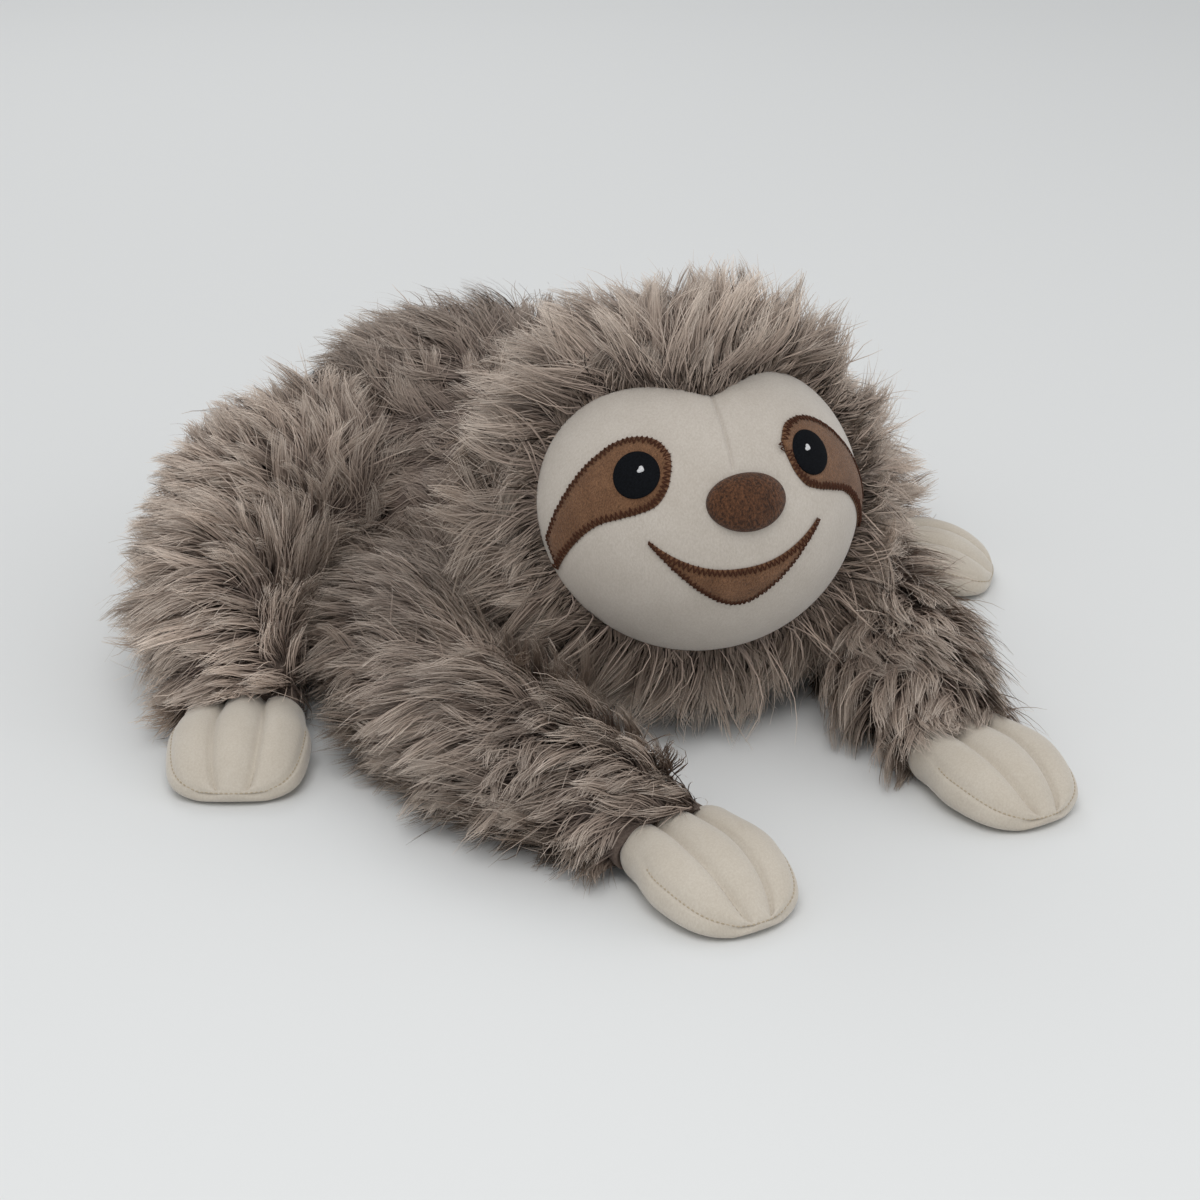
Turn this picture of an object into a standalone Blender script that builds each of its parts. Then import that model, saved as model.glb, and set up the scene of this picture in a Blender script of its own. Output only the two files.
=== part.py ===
"""Plush sloth lying on its belly, as an assembly of sewn panels and their filling.

The toy faces -Y, its left side is +X and it rests on the plane z = 0. Lengths are in metres.
The head turns on an upright axis, each limb swings on an upright axis at its root, and each
paw bends up on a level axis at its cuff. Where a limb or the head meets the body, its end is
round about its own axis and the body is hollowed to match, so the seam can turn in its seat.
"""
import math

import bmesh
import bpy
from mathutils import Matrix, Vector

# Driving sizes of the head. The hood's cloth runs out to the middle of its pile
FACE_WIDTH = 0.1380
FACE_DEPTH = 0.1234
FACE_HEIGHT = 0.1244
FACE_CENTRE_HEIGHT = 0.0902
FACE_CLOTH = 0.0025
HOOD_PILE_SIDE = 0.0130
HOOD_PILE_TOP = 0.0220
HOOD_PILE_UNDER = 0.0138
HOOD_RIM_PILE = 0.0120
HEAD_SET_BACK = 0.0067
DART_DEPTH = 0.0008
HEAD_YAW_DEG = -14.6
HEAD_PITCH_DEG = 19.4
HEAD_ROLL_DEG = -1.1

# Face outline, as an angle away from the way the face looks: higher over the brow than under the chin
FACE_EDGE_DEG = 75.3
FACE_BROW_DEG = 6.0
FACE_NOTCH_DEG = 38.0
FACE_NOTCH_SPREAD_DEG = 38.6
HOOD_EASE_DEG = 30.0

# Driving sizes of what is sewn on the face
APPLIQUE_CLOTH = 0.0010
APPLIQUE_LIFT = 0.0005
STITCH_WIDTH = 0.0028
NOSE_WIDTH = 0.0312
NOSE_HEIGHT = 0.0222
NOSE_PADDING = 0.0070
EYE_DIAMETER = 0.0172
EYE_DOME = 0.0012
GLINT_DIAMETER = 0.0038
GLINT_DOME = 0.0005
MOUTH_END_HEIGHT = 0.0016

# Places on the face, as longitude and latitude in degrees from its middle
NOSE_PLACE_DEG = (1.6, 0.5)
EYE_PLACE_DEG = (30.6, 14.0)
GLINT_PLACE_DEG = (28.8, 15.4)
MOUTH_CORNER_DEG = (29.7, -9.5)
MOUTH_UPPER_DROP_DEG = 14.2
MOUTH_LOWER_DROP_DEG = 27.9
PATCH_UPPER_DEG = ((19.8, 20.0), (24.0, 25.6), (31.3, 27.8), (38.7, 26.8), (45.6, 23.0), (52.6, 16.9),
                   (60.8, 7.0), (68.1, -3.2))
PATCH_LOWER_DEG = ((19.8, 15.5), (21.6, 8.4), (25.5, 3.0), (31.4, 0.8), (38.3, -0.4), (46.2, -2.0),
                   (55.3, -7.0), (66.7, -15.4))

# Shapes of the sewn pieces: how sharply the lips turn up, and the stitched share of a length
MOUTH_UPPER_POWER = 2.3
MOUTH_LOWER_POWER = 1.9
MOUTH_STITCH_SHARE = 0.13
MOUTH_GAP_SHARE = 0.012
PATCH_STITCH_SHARE = 0.055
PATCH_GAP_SHARE = 0.006
DOME_EDGE_SHARE = 0.15
DOME_POWER = 3.0

# Driving sizes of the body
TORSO_LENGTH = 0.2100
TORSO_WIDTH = 0.1600
TORSO_TOP = 0.1180
TORSO_MIDDLE_HEIGHT = 0.0540
TORSO_SAG = 0.0100
NECK_AHEAD = 0.0321
SIDE_SEAM_HEIGHT = 0.0300
TORSO_BLUNTNESS = 0.72
TORSO_FRONT_TAPER = 0.13

# Driving sizes of the limbs, the arms first
SHOULDER_SPACING = 0.1480
SHOULDER_AHEAD = 0.0630
ARM_REACH = 0.1940
ARM_WIDTH = 0.0760
ARM_HEIGHT = 0.0560
HIP_SPACING = 0.1440
HIP_BEHIND = 0.0330
LEG_REACH = 0.1150
LEG_WIDTH = 0.0960
LEG_HEIGHT = 0.1000
FLOOR_FLAT = 0.0015

# Limb widths and heights along the limb, and the places of its bends and its cuff
ARM_WIDTH_SHARES = (1.0, 0.93, 0.87, 0.79, 0.70)
ARM_HEIGHT_SHARES = (1.0, 1.02, 1.0, 0.90, 0.76)
LEG_WIDTH_SHARES = (1.0, 0.93, 0.78, 0.66, 0.54)
LEG_HEIGHT_SHARES = (1.0, 0.96, 0.83, 0.68, 0.48)
RIGHT_ARM_PATH_SHARES = ((0.31, 0.26), (0.72, 0.17), (1.0, 0.015))
LEFT_ARM_PATH_SHARES = ((0.30, 0.19), (0.70, -0.07), (0.974, -0.088))
RIGHT_LEG_PATH_SHARES = ((0.0, 0.52), (0.62, 0.68), (1.04, 0.85))
LEFT_LEG_PATH_SHARES = ((0.0, 0.74), (0.68, 0.58), (1.02, 0.69))
RIGHT_FOOT_YAW_DEG = 31.0
LEFT_FOOT_YAW_DEG = 50.0

# Driving sizes of the paws, each padded in three lobes between two sewn channels
HAND_LENGTH = 0.0520
FOOT_LENGTH = 0.0480
PAW_WIDTH = 0.0560
PAW_BASE_WIDTH = 0.0480
PAW_BASE_HEIGHT = 0.0240
PAW_CROWN = 0.0270
PAW_SEAM_HEIGHT = 0.0060
PAW_CLOTH = 0.0020
CHANNEL_DEPTH = 0.0040
CUFF_STAND_OFF = 0.0072
SOLE_FLATNESS = 1.15
PAW_TIP_SHARE = 0.12
PAW_TIP_POWER = 2.6
PAW_SLOPE_POWER = 1.2
PAW_SOLE_POWER = 6.0
PAW_SIDE_POWER = 3.0
PAW_SWELL_SHARE = 0.35
PAW_SEAM_FALL_SHARE = 0.67
CHANNEL_PLACE_SHARE = 0.333
CHANNEL_HALF_WIDTH_SHARE = 0.222
CHANNEL_START_SHARE = 0.15

# How far the left arm swings in under the head, which lies on it
UNDER_HEAD_SWING_DEG = 3.5
UNDER_HEAD_STEPS = 2

# Cloth with half its pile, clearances, and the overrun that every cut shares
FUR_CLOTH = 0.0110
UNDERSIDE_CLOTH = 0.0040
SEAM_GAP = 0.0003
WELD_SHARE = 0.1
CUT_OVERRUN = 0.0200
SMOOTH_DEG = 50.0

# The middle of the toy's outline on the floor, seen from the middle of the body
TOY_MIDDLE_X = -0.0064
TOY_MIDDLE_Y = -0.1020

# Facets round and along each form
LIMB_SIDES = 14
LIMB_CAP_RINGS = 4
LIMB_RINGS = 9
TORSO_SIDES = 24
TORSO_RINGS = 14
HEAD_SIDES = 32
FACE_RINGS = 6
HOOD_RINGS = 9
SEAT_SIDES = 32
SEAT_RINGS = 16
POCKET_SIDES = 24
PAW_COLUMNS = 9
PAW_ROWS = 5
PAW_HEEL_ROWS = 3
PATCH_ROWS = 12
PATCH_COLUMNS = 3
NOSE_RINGS = 4
EYE_RINGS = 3
ROUND_SIDES = 20
GLINT_SIDES = 10


def clear_scene():
    for obj in list(bpy.data.objects):
        bpy.data.objects.remove(obj, do_unlink=True)


def material(name, colour, roughness, sheen=0.0):
    made = bpy.data.materials.new(name)
    made.use_nodes = True
    shader = made.node_tree.nodes["Principled BSDF"]
    shader.inputs["Base Color"].default_value = (*colour, 1)
    shader.inputs["Roughness"].default_value = roughness
    shader.inputs["Metallic"].default_value = 0
    shader.inputs["Sheen Weight"].default_value = sheen
    made.diffuse_color = (*colour, 1)
    return made


def empty(name, place, parent=None, yaw=0.0):
    made = bpy.data.objects.new(name, None)
    made.location = place
    made.rotation_euler = (0, 0, yaw)
    made.parent = parent
    bpy.context.collection.objects.link(made)
    return made


def solid(name, bm, parent, finish=None):
    """Turn a bmesh into a named object with flat facets that face outward."""
    bmesh.ops.triangulate(bm, faces=bm.faces, quad_method="FIXED")
    bmesh.ops.remove_doubles(bm, verts=bm.verts, dist=SEAM_GAP * WELD_SHARE)
    bmesh.ops.recalc_face_normals(bm, faces=bm.faces)
    mesh = bpy.data.meshes.new(name)
    bm.to_mesh(mesh)
    bm.free()
    mesh.shade_smooth()
    mesh.set_sharp_from_angle(angle=math.radians(SMOOTH_DEG))
    if finish:
        mesh.materials.append(finish)
    made = bpy.data.objects.new(name, mesh)
    made.parent = parent
    bpy.context.collection.objects.link(made)
    return made


def as_cutter(obj):
    obj.hide_render = True
    obj.display_type = "WIRE"
    return obj


def cut(obj, cutter):
    boolean = obj.modifiers.new("cut by " + cutter.name, "BOOLEAN")
    boolean.operation = "DIFFERENCE"
    boolean.solver = "EXACT"
    boolean.object = cutter


def block(name, low, high, parent):
    bm = bmesh.new()
    bmesh.ops.create_cube(bm, size=1)
    for vert in bm.verts:
        vert.co = Vector([b if c > 0 else a for a, b, c in zip(low, high, vert.co)])
    return as_cutter(solid(name, bm, parent))


def loft(rings, first=None, last=None):
    """Skin a row of rings of points, closed at each end by a tip or by a flat cap."""
    bm = bmesh.new()
    loops = [[bm.verts.new(p) for p in ring] for ring in rings]
    count = len(loops[0])
    for low, high in zip(loops, loops[1:]):
        for i in range(count):
            j = (i + 1) % count
            bm.faces.new((low[i], low[j], high[j], high[i]))
    for loop, tip in ((loops[0], first), (loops[-1], last)):
        if tip is None:
            bm.faces.new(loop)
        else:
            point = bm.verts.new(tip)
            for i in range(count):
                bm.faces.new((loop[i], loop[(i + 1) % count], point))
    return bm


def between(outer, inner):
    """Close the space between two equal grids of points, joined along their borders.

    The diagonals of the two halves mirror each other, so grids that meet along three sides stay closed.
    """
    bm = bmesh.new()
    sheets = [[[bm.verts.new(p) for p in row] for row in grid] for grid in (outer, inner)]
    rows, columns = len(outer), len(outer[0])
    for sheet in sheets:
        for i in range(rows - 1):
            for j in range(columns - 1):
                corners = (sheet[i][j], sheet[i][j + 1], sheet[i + 1][j + 1], sheet[i + 1][j])
                bm.faces.new(corners[1:] + corners[:1] if 2 * j < columns - 1 else corners)
    border = [(0, j) for j in range(columns)] + [(i, columns - 1) for i in range(1, rows)]
    border += [(rows - 1, j) for j in range(columns - 2, -1, -1)] + [(i, 0) for i in range(rows - 2, 0, -1)]
    for (i, j), (k, m) in zip(border, border[1:] + border[:1]):
        bm.faces.new((sheets[0][i][j], sheets[0][k][m], sheets[1][k][m], sheets[1][i][j]))
    return bm


def frame_between(outer_low, inner_low, outer_high, inner_high):
    """A flat closed band between two outlines, each given at its lower and upper lift.

    Each quad splits along its shorter diagonal, so the band keeps to the round face under it.
    """
    bm = bmesh.new()
    loops = [[bm.verts.new(p) for p in line] for line in (outer_low, inner_low, inner_high, outer_high)]
    count = len(outer_low)
    for a, b in zip(loops, loops[1:] + loops[:1]):
        for i in range(count):
            j = (i + 1) % count
            corners = (a[i], a[j], b[j], b[i])
            first, second = (a[i].co - b[j].co).length, (a[j].co - b[i].co).length
            bm.faces.new(corners[1:] + corners[:1] if first > second else corners)
    return bm


def ease(x):
    x = min(max(x, 0), 1)
    return x * x * (3 - 2 * x)


def through(values, x):
    """Read a smooth curve through evenly spaced values at x from 0 to 1."""
    spot = min(max(x, 0), 1) * (len(values) - 1)
    i = min(int(spot), len(values) - 2)
    u = spot - i
    before, here, ahead, after = (values[min(max(k, 0), len(values) - 1)] for k in (i - 1, i, i + 1, i + 2))
    slope, bend = (ahead - before) / 2, before - here * 5 / 2 + ahead * 2 - after / 2
    twist = (after - before) / 2 + (here - ahead) * 3 / 2
    return here + slope * u + bend * u ** 2 + twist * u ** 3


# The head's turning form: round about the upright neck axis
NECK_Y = -TORSO_LENGTH / 2 - NECK_AHEAD
HEAD_RADIUS = FACE_WIDTH / 2 + HOOD_PILE_SIDE
HEAD_RISE = FACE_HEIGHT / 2 + HOOD_PILE_TOP
HEAD_DROP = FACE_HEIGHT / 2 + HOOD_PILE_UNDER
NECK_PLACE = Vector((0, NECK_Y, FACE_CENTRE_HEIGHT))
FACE_OFFSET = Vector((0, -HEAD_SET_BACK, 0))
HEAD_TURN = (Matrix.Rotation(math.radians(HEAD_YAW_DEG), 3, "Z")
             @ Matrix.Rotation(math.radians(-HEAD_PITCH_DEG), 3, "X")
             @ Matrix.Rotation(math.radians(HEAD_ROLL_DEG), 3, "Y"))


def round_seat(name, radius, drop, rise, parent, height=0.0, middle=(0, 0)):
    """A cutter round about an upright axis, whose facets all stay clear of the form it seats."""
    slack = 1 / (math.cos(math.pi / SEAT_SIDES) * math.cos(math.pi / SEAT_RINGS / 2))
    wide, low, high = ((size + SEAM_GAP) * slack for size in (radius, drop, rise))
    rings = []
    for i in range(1, SEAT_RINGS):
        polar = math.pi * i / SEAT_RINGS
        size = wide * math.sin(polar)
        tall = low if 2 * i < SEAT_RINGS else high
        rings.append([Vector((middle[0] + size * math.cos(turn), middle[1] + size * math.sin(turn),
                              height - tall * math.cos(polar)))
                      for turn in (2 * math.pi * j / SEAT_SIDES for j in range(SEAT_SIDES))])
    bm = loft(rings, Vector((*middle, height - low)), Vector((*middle, height + high)))
    return as_cutter(solid(name, bm, parent))


# Body

def torso_form(name, inset, floor, parent, finish=None):
    """The swelling body, inset evenly for its cloth and its filling."""
    half_length = TORSO_LENGTH / 2 - inset
    half_width = TORSO_WIDTH / 2 - inset
    rise = TORSO_TOP - TORSO_MIDDLE_HEIGHT - inset
    drop = TORSO_MIDDLE_HEIGHT + TORSO_SAG - inset
    rings = []
    for i in range(1, TORSO_RINGS):
        polar = math.pi * i / TORSO_RINGS
        share = math.sin(polar) ** TORSO_BLUNTNESS * (1 - TORSO_FRONT_TAPER * math.cos(polar))
        ring = []
        for j in range(TORSO_SIDES):
            turn = 2 * math.pi * (j + 1 / 2) / TORSO_SIDES
            tall = rise if math.sin(turn) > 0 else drop
            height = TORSO_MIDDLE_HEIGHT + tall * share * math.sin(turn)
            ring.append(Vector((half_width * share * math.cos(turn), -half_length * math.cos(polar),
                                max(height, floor))))
        rings.append(ring)
    tips = [Vector((0, side * half_length, TORSO_MIDDLE_HEIGHT)) for side in (-1, 1)]
    return solid(name, loft(rings, *tips), parent, finish)


def make_body(root, seats, fur, filling):
    reach = TORSO_LENGTH + CUT_OVERRUN
    hollow = as_cutter(torso_form("body_hollow", FUR_CLOTH, UNDERSIDE_CLOTH, root))
    below = block("below_side_seam", (-reach, -reach, -CUT_OVERRUN),
                  (reach, reach, SIDE_SEAM_HEIGHT + SEAM_GAP / 2), root)
    above = block("above_side_seam", (-reach, -reach, SIDE_SEAM_HEIGHT - SEAM_GAP / 2),
                  (reach, reach, TORSO_TOP + CUT_OVERRUN), root)
    back = torso_form("back_panel", 0, 0, root, fur)
    belly = torso_form("belly_panel", 0, 0, root, fur)
    stuffing = torso_form("body_filling", FUR_CLOTH + SEAM_GAP, UNDERSIDE_CLOTH + SEAM_GAP, root, filling)
    for panel, other_side in ((back, below), (belly, above)):
        cut(panel, hollow)
        cut(panel, other_side)
    for seat in seats:
        for piece in (back, belly, stuffing):
            cut(piece, seat)


# Limbs

class Limb:
    """One arm or leg: its root, its bent centre line and its paw, in its root's own frame."""

    def __init__(self, kind, joint, paw, side, root, path, reach, size, shares, paw_length, paw_yaw_deg):
        self.kind, self.joint, self.paw = kind, joint, paw
        self.side, self.root = side, Vector(root)
        self.radius, self.half_height = size[0] / 2, size[1] / 2
        self.widths, self.heights = shares
        self.paw_length = paw_length
        self.yaw = math.radians(paw_yaw_deg) * side
        self.lift = self.half_height - FLOOR_FLAT
        self.points = [Vector((0, 0))] + [Vector((side * out * reach, -ahead * reach)) for ahead, out in path]
        self.cuff = self.points[-1]

    def label(self, piece):
        return piece + ("_left" if self.side > 0 else "_right")

    def centre(self, t):
        a, b, c, d = self.points
        return a * (1 - t) ** 3 + b * 3 * t * (1 - t) ** 2 + c * 3 * t ** 2 * (1 - t) + d * t ** 3

    def heading(self, t):
        a, b, c, d = self.points
        way = (b - a) * (1 - t) ** 2 + (c - b) * 2 * t * (1 - t) + (d - c) * t ** 2
        return way.normalized()

    def ring(self, place, heading, half_width, half_height, floor):
        across = Vector((-heading.y, heading.x))
        ring = []
        for j in range(LIMB_SIDES):
            turn = 2 * math.pi * (j + 1 / 2) / LIMB_SIDES
            spot = place + across * half_width * math.cos(turn)
            level = half_height[0] + half_height[1] * math.sin(turn)
            ring.append(Vector((spot.x, spot.y, max(level, floor))))
        return ring

    def form(self, name, inset, floor, parent, finish=None):
        """A round root, then the swelling limb along its centre line, past its cuff."""
        rings = []
        start = self.heading(0)
        wide, tall = self.radius - inset, self.half_height - inset
        for i in range(1, LIMB_CAP_RINGS):
            polar = math.pi / 2 * i / LIMB_CAP_RINGS
            size = math.sin(polar)
            rings.append(self.ring(-start * wide * math.cos(polar), start, wide * size,
                                   (self.lift, tall * size), floor))
        for i in range(LIMB_RINGS + 1):
            t = i / LIMB_RINGS
            half_width = self.radius * through(self.widths, t) - inset
            half_height = self.half_height * through(self.heights, t)
            level = half_height - FLOOR_FLAT
            rings.append(self.ring(self.centre(t), self.heading(t), half_width,
                                   (level, half_height - inset), floor))
        beyond = self.cuff + self.heading(1) * CUT_OVERRUN
        end = self.radius * self.widths[-1] - inset, self.half_height * self.heights[-1]
        rings.append(self.ring(beyond, self.heading(1), end[0], (end[1] - FLOOR_FLAT, end[1] - inset), floor))
        back = -start * wide
        return solid(name, loft(rings, Vector((back.x, back.y, self.lift))), parent, finish)


def make_limb(limb, root, fur, velboa, filling):
    """Sleeve and filling on the root's axis, and the paw on the cuff's. Returns the body's seat for it."""
    axis = empty(limb.label(limb.joint + "_axis"), limb.root, root)
    hollow = as_cutter(limb.form(limb.label(limb.kind + "_hollow"), FUR_CLOTH, UNDERSIDE_CLOTH, axis))
    sleeve = limb.form(limb.label(limb.kind + "_sleeve"), 0, 0, axis, fur)
    stuffing = limb.form(limb.label(limb.kind + "_filling"), FUR_CLOTH + SEAM_GAP,
                         UNDERSIDE_CLOTH + SEAM_GAP, axis, filling)
    cut(sleeve, hollow)

    cuff_height = (PAW_BASE_HEIGHT + SEAM_GAP) / 2
    cuff = empty(limb.label(limb.paw + "_axis"), (limb.cuff.x, limb.cuff.y, cuff_height), axis, limb.yaw)
    wide = LEG_WIDTH + ARM_WIDTH
    end = block(limb.label(limb.kind + "_end"), (-wide, -wide, -cuff_height - CUT_OVERRUN),
                (wide, CUFF_STAND_OFF, wide), cuff)
    cutters = [end, make_pocket(limb.label(limb.kind + "_pocket"), cuff)]
    if (limb.kind, limb.side) == ("arm", 1):
        cutters += head_seats_over(limb, axis)
    for piece in (sleeve, stuffing):
        for cutter in cutters:
            cut(piece, cutter)
    make_paw(limb, cuff, velboa, filling)
    return round_seat(limb.label(limb.joint + "_seat"), limb.radius, limb.half_height, limb.half_height, axis,
                      limb.lift)


def head_seats_over(limb, axis):
    """The head's seat over the arm it lies on, at each step of the arm's swing in under it."""
    seats = []
    for step in range(UNDER_HEAD_STEPS + 1):
        swing = math.radians(UNDER_HEAD_SWING_DEG) * limb.side * step / UNDER_HEAD_STEPS
        middle = Matrix.Rotation(swing, 2) @ (NECK_PLACE - limb.root).to_2d()
        seats.append(round_seat("head_over_arm_" + str(step), HEAD_RADIUS, HEAD_DROP, HEAD_RISE, axis,
                                NECK_PLACE.z, middle))
    return seats


# Paws

def make_pocket(name, parent):
    """The hollow in a cuff that the rounded heel of the paw turns in."""
    radius = (PAW_BASE_HEIGHT / 2 + SEAM_GAP) / math.cos(math.pi / POCKET_SIDES)
    half_length = PAW_BASE_WIDTH / 2 + SEAM_GAP
    rings = [[Vector((x, radius * math.cos(turn), radius * math.sin(turn)))
              for turn in (2 * math.pi * j / POCKET_SIDES for j in range(POCKET_SIDES))]
             for x in (-half_length, half_length)]
    return as_cutter(solid(name, loft(rings), parent))


def paw_sheet(length, inset, upper, lift=0.0):
    """Points of the upper or lower side of a paw, from its heel to its tip, about the cuff's axis."""
    base = PAW_BASE_HEIGHT / 2
    heel = base - inset
    side = 1 if upper else -1
    rows = []
    for row in range(PAW_HEEL_ROWS + PAW_ROWS + 1):
        ahead = max(row - PAW_HEEL_ROWS, 0) / PAW_ROWS
        swell = PAW_BASE_WIDTH + (PAW_WIDTH - PAW_BASE_WIDTH) * ease(ahead / PAW_SWELL_SHARE)
        half_width = swell / 2 * (1 - (1 - PAW_TIP_SHARE) * ahead ** PAW_TIP_POWER) - inset
        seam = -(base - PAW_SEAM_HEIGHT) * ease(ahead / PAW_SEAM_FALL_SHARE)
        crown = base + (PAW_CROWN - PAW_BASE_HEIGHT) * math.sin(math.pi * ahead) - inset
        crown = seam + (crown - seam) * max(math.cos(math.pi / 2 * ahead), 0) ** PAW_SLOPE_POWER
        sole = seam - (seam + heel) * (1 - ahead ** PAW_SOLE_POWER)
        depth = CHANNEL_DEPTH * math.sqrt(math.sin(math.pi * min(ahead + CHANNEL_START_SHARE, 1)))
        heel_turn = math.pi / 2 * row / PAW_HEEL_ROWS
        line = []
        for column in range(PAW_COLUMNS + 1):
            x = 2 * column / PAW_COLUMNS - 1
            pillow = math.sqrt(1 - abs(x) ** PAW_SIDE_POWER)
            channel = max(0, 1 - abs(abs(x) - CHANNEL_PLACE_SHARE) / CHANNEL_HALF_WIDTH_SHARE)
            if row < PAW_HEEL_ROWS:
                y = heel * pillow * math.cos(heel_turn)
                z = side * heel * pillow * math.sin(heel_turn)
            elif upper:
                y = -(length - inset) * math.sin(math.pi / 2 * ahead)
                z = seam + (crown - depth * channel - seam) * pillow
            else:
                y = -(length - inset) * math.sin(math.pi / 2 * ahead)
                z = seam + (sole - seam) * min(pillow * SOLE_FLATNESS, 1)
            line.append(Vector((half_width * x, y, z + lift)))
        rows.append(line)
    return rows


def make_paw(limb, cuff, velboa, filling):
    for piece, upper in (("_top", True), ("_sole", False)):
        gap = SEAM_GAP / 2 if upper else -SEAM_GAP / 2
        sheets = [paw_sheet(limb.paw_length, inset, upper, gap) for inset in (0, PAW_CLOTH)]
        solid(limb.label(limb.paw + piece), between(*sheets), cuff, velboa)
    core = PAW_CLOTH + SEAM_GAP
    sheets = [paw_sheet(limb.paw_length, core, upper) for upper in (True, False)]
    solid(limb.label(limb.paw + "_filling"), between(*sheets), cuff, filling)


# Head

FACE_HALF = (FACE_WIDTH / 2, FACE_DEPTH / 2, FACE_HEIGHT / 2)


def way(turn, away):
    """A direction from the middle of the face, by its angle round the face and away from its middle."""
    return Vector((math.sin(away) * math.sin(turn), -math.cos(away), math.sin(away) * math.cos(turn)))


def face_edge(turn):
    """How far the face reaches from its middle, with the notch over the brow."""
    round_off = math.degrees((turn + math.pi) % (2 * math.pi) - math.pi) / FACE_NOTCH_SPREAD_DEG
    notch = FACE_NOTCH_DEG * math.exp(-round_off ** 2)
    return math.radians(FACE_EDGE_DEG + FACE_BROW_DEG * math.cos(turn) - notch)


def on_shell(direction, inset):
    half = [size - inset for size in FACE_HALF]
    return direction / math.sqrt(sum((d / h) ** 2 for d, h in zip(direction, half)))


def on_turning_form(direction):
    """Where a ray from the middle of the face meets the round form that the head turns in."""
    heading = HEAD_TURN @ direction
    scale = Vector((1 / HEAD_RADIUS, 1 / HEAD_RADIUS, 1 / (HEAD_RISE if heading.z > 0 else HEAD_DROP)))
    start = FACE_OFFSET * scale
    ray = heading * scale
    a, b, c = ray.dot(ray), ray.dot(start), start.dot(start) - 1
    return direction * ((-b + math.sqrt(b * b - a * c)) / a)


def polar_sheet(turns, aways, point):
    """Rings of points round the middle of the face, each at its own angle away from it."""
    return [[point(turn, away(turn)) for turn in turns] for away in aways]


def polar_solid(outer, inner, outer_tip, inner_tip):
    """The space between two domes of rings, each closed by its tip, joined along their last ring."""
    bm = bmesh.new()
    edges = []
    for rows, tip in ((outer, outer_tip), (inner, inner_tip)):
        loops = [[bm.verts.new(p) for p in row] for row in rows]
        point = bm.verts.new(tip)
        count = len(loops[0])
        for i in range(count):
            bm.faces.new((loops[0][i], loops[0][(i + 1) % count], point))
        for low, high in zip(loops, loops[1:]):
            for i in range(count):
                j = (i + 1) % count
                bm.faces.new((low[i], low[j], high[j], high[i]))
        edges.append(loops[-1])
    for i in range(len(edges[0])):
        j = (i + 1) % len(edges[0])
        bm.faces.new((edges[0][i], edges[0][j], edges[1][j], edges[1][i]))
    return bm


def head_turns():
    return [2 * math.pi * i / HEAD_SIDES for i in range(HEAD_SIDES)]


def face_aways():
    return [lambda turn, share=i / FACE_RINGS: face_edge(turn) * share for i in range(1, FACE_RINGS + 1)]


def hood_aways(gap):
    """Rings from the back of the head forward to the rim beside the face."""
    shares = [1 - i / HOOD_RINGS for i in range(1, HOOD_RINGS + 1)]
    return [lambda turn, share=share: face_edge(turn) + gap + (math.pi - face_edge(turn) - gap) * share
            for share in shares]


def hood_outer(turn, away):
    shell = on_shell(way(turn, away), 0)
    full = on_turning_form(way(turn, away))
    rim = shell * (1 + HOOD_RIM_PILE / shell.length)
    share = ease((away - face_edge(turn)) / math.radians(HOOD_EASE_DEG))
    return rim + (full - rim) * share


def make_head(axis, fur, velboa, filling):
    head = empty("head_tilt", FACE_OFFSET, axis)
    head.rotation_euler = HEAD_TURN.to_euler()
    turns = head_turns()
    ahead, behind = way(0, 0), way(0, math.pi)

    def face_outer(turn, away):
        dart = DART_DEPTH if turn == 0 and away > math.radians(FACE_NOTCH_DEG / 2) else 0
        return on_shell(way(turn, away), dart)

    face = polar_solid(polar_sheet(turns, face_aways(), face_outer),
                       polar_sheet(turns, face_aways(), lambda t, a: on_shell(way(t, a), FACE_CLOTH)),
                       on_shell(ahead, 0), on_shell(ahead, FACE_CLOTH))
    solid("face_panel", face, head, velboa)

    gap = SEAM_GAP / min(FACE_HALF)
    back_turns = turns[::-1]
    hood = polar_solid(polar_sheet(back_turns, hood_aways(gap), hood_outer),
                       polar_sheet(back_turns, hood_aways(gap), lambda t, a: on_shell(way(t, a), FACE_CLOTH)),
                       on_turning_form(behind), on_shell(behind, FACE_CLOTH))
    solid("head_hood", hood, head, fur)

    core = FACE_CLOTH + SEAM_GAP
    rows = polar_sheet(turns, face_aways() + hood_aways(0)[-2::-1], lambda t, a: on_shell(way(t, a), core))
    solid("head_filling", loft(rows, on_shell(ahead, core), on_shell(behind, core)), head, filling)
    return head


# What is sewn on the face

def on_face(place, lift):
    """A point over the face, by longitude and latitude in degrees, lifted off its cloth."""
    longitude, latitude = (math.radians(angle) for angle in place)
    flat = math.cos(latitude)
    unit = Vector((flat * math.sin(longitude), -flat * math.cos(longitude), math.sin(latitude)))
    point = Vector([u * h for u, h in zip(unit, FACE_HALF)])
    outward = Vector([u / h for u, h in zip(unit, FACE_HALF)]).normalized()
    return point + outward * lift


def mirrored(side, place):
    return side * place[0], place[1]


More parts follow.
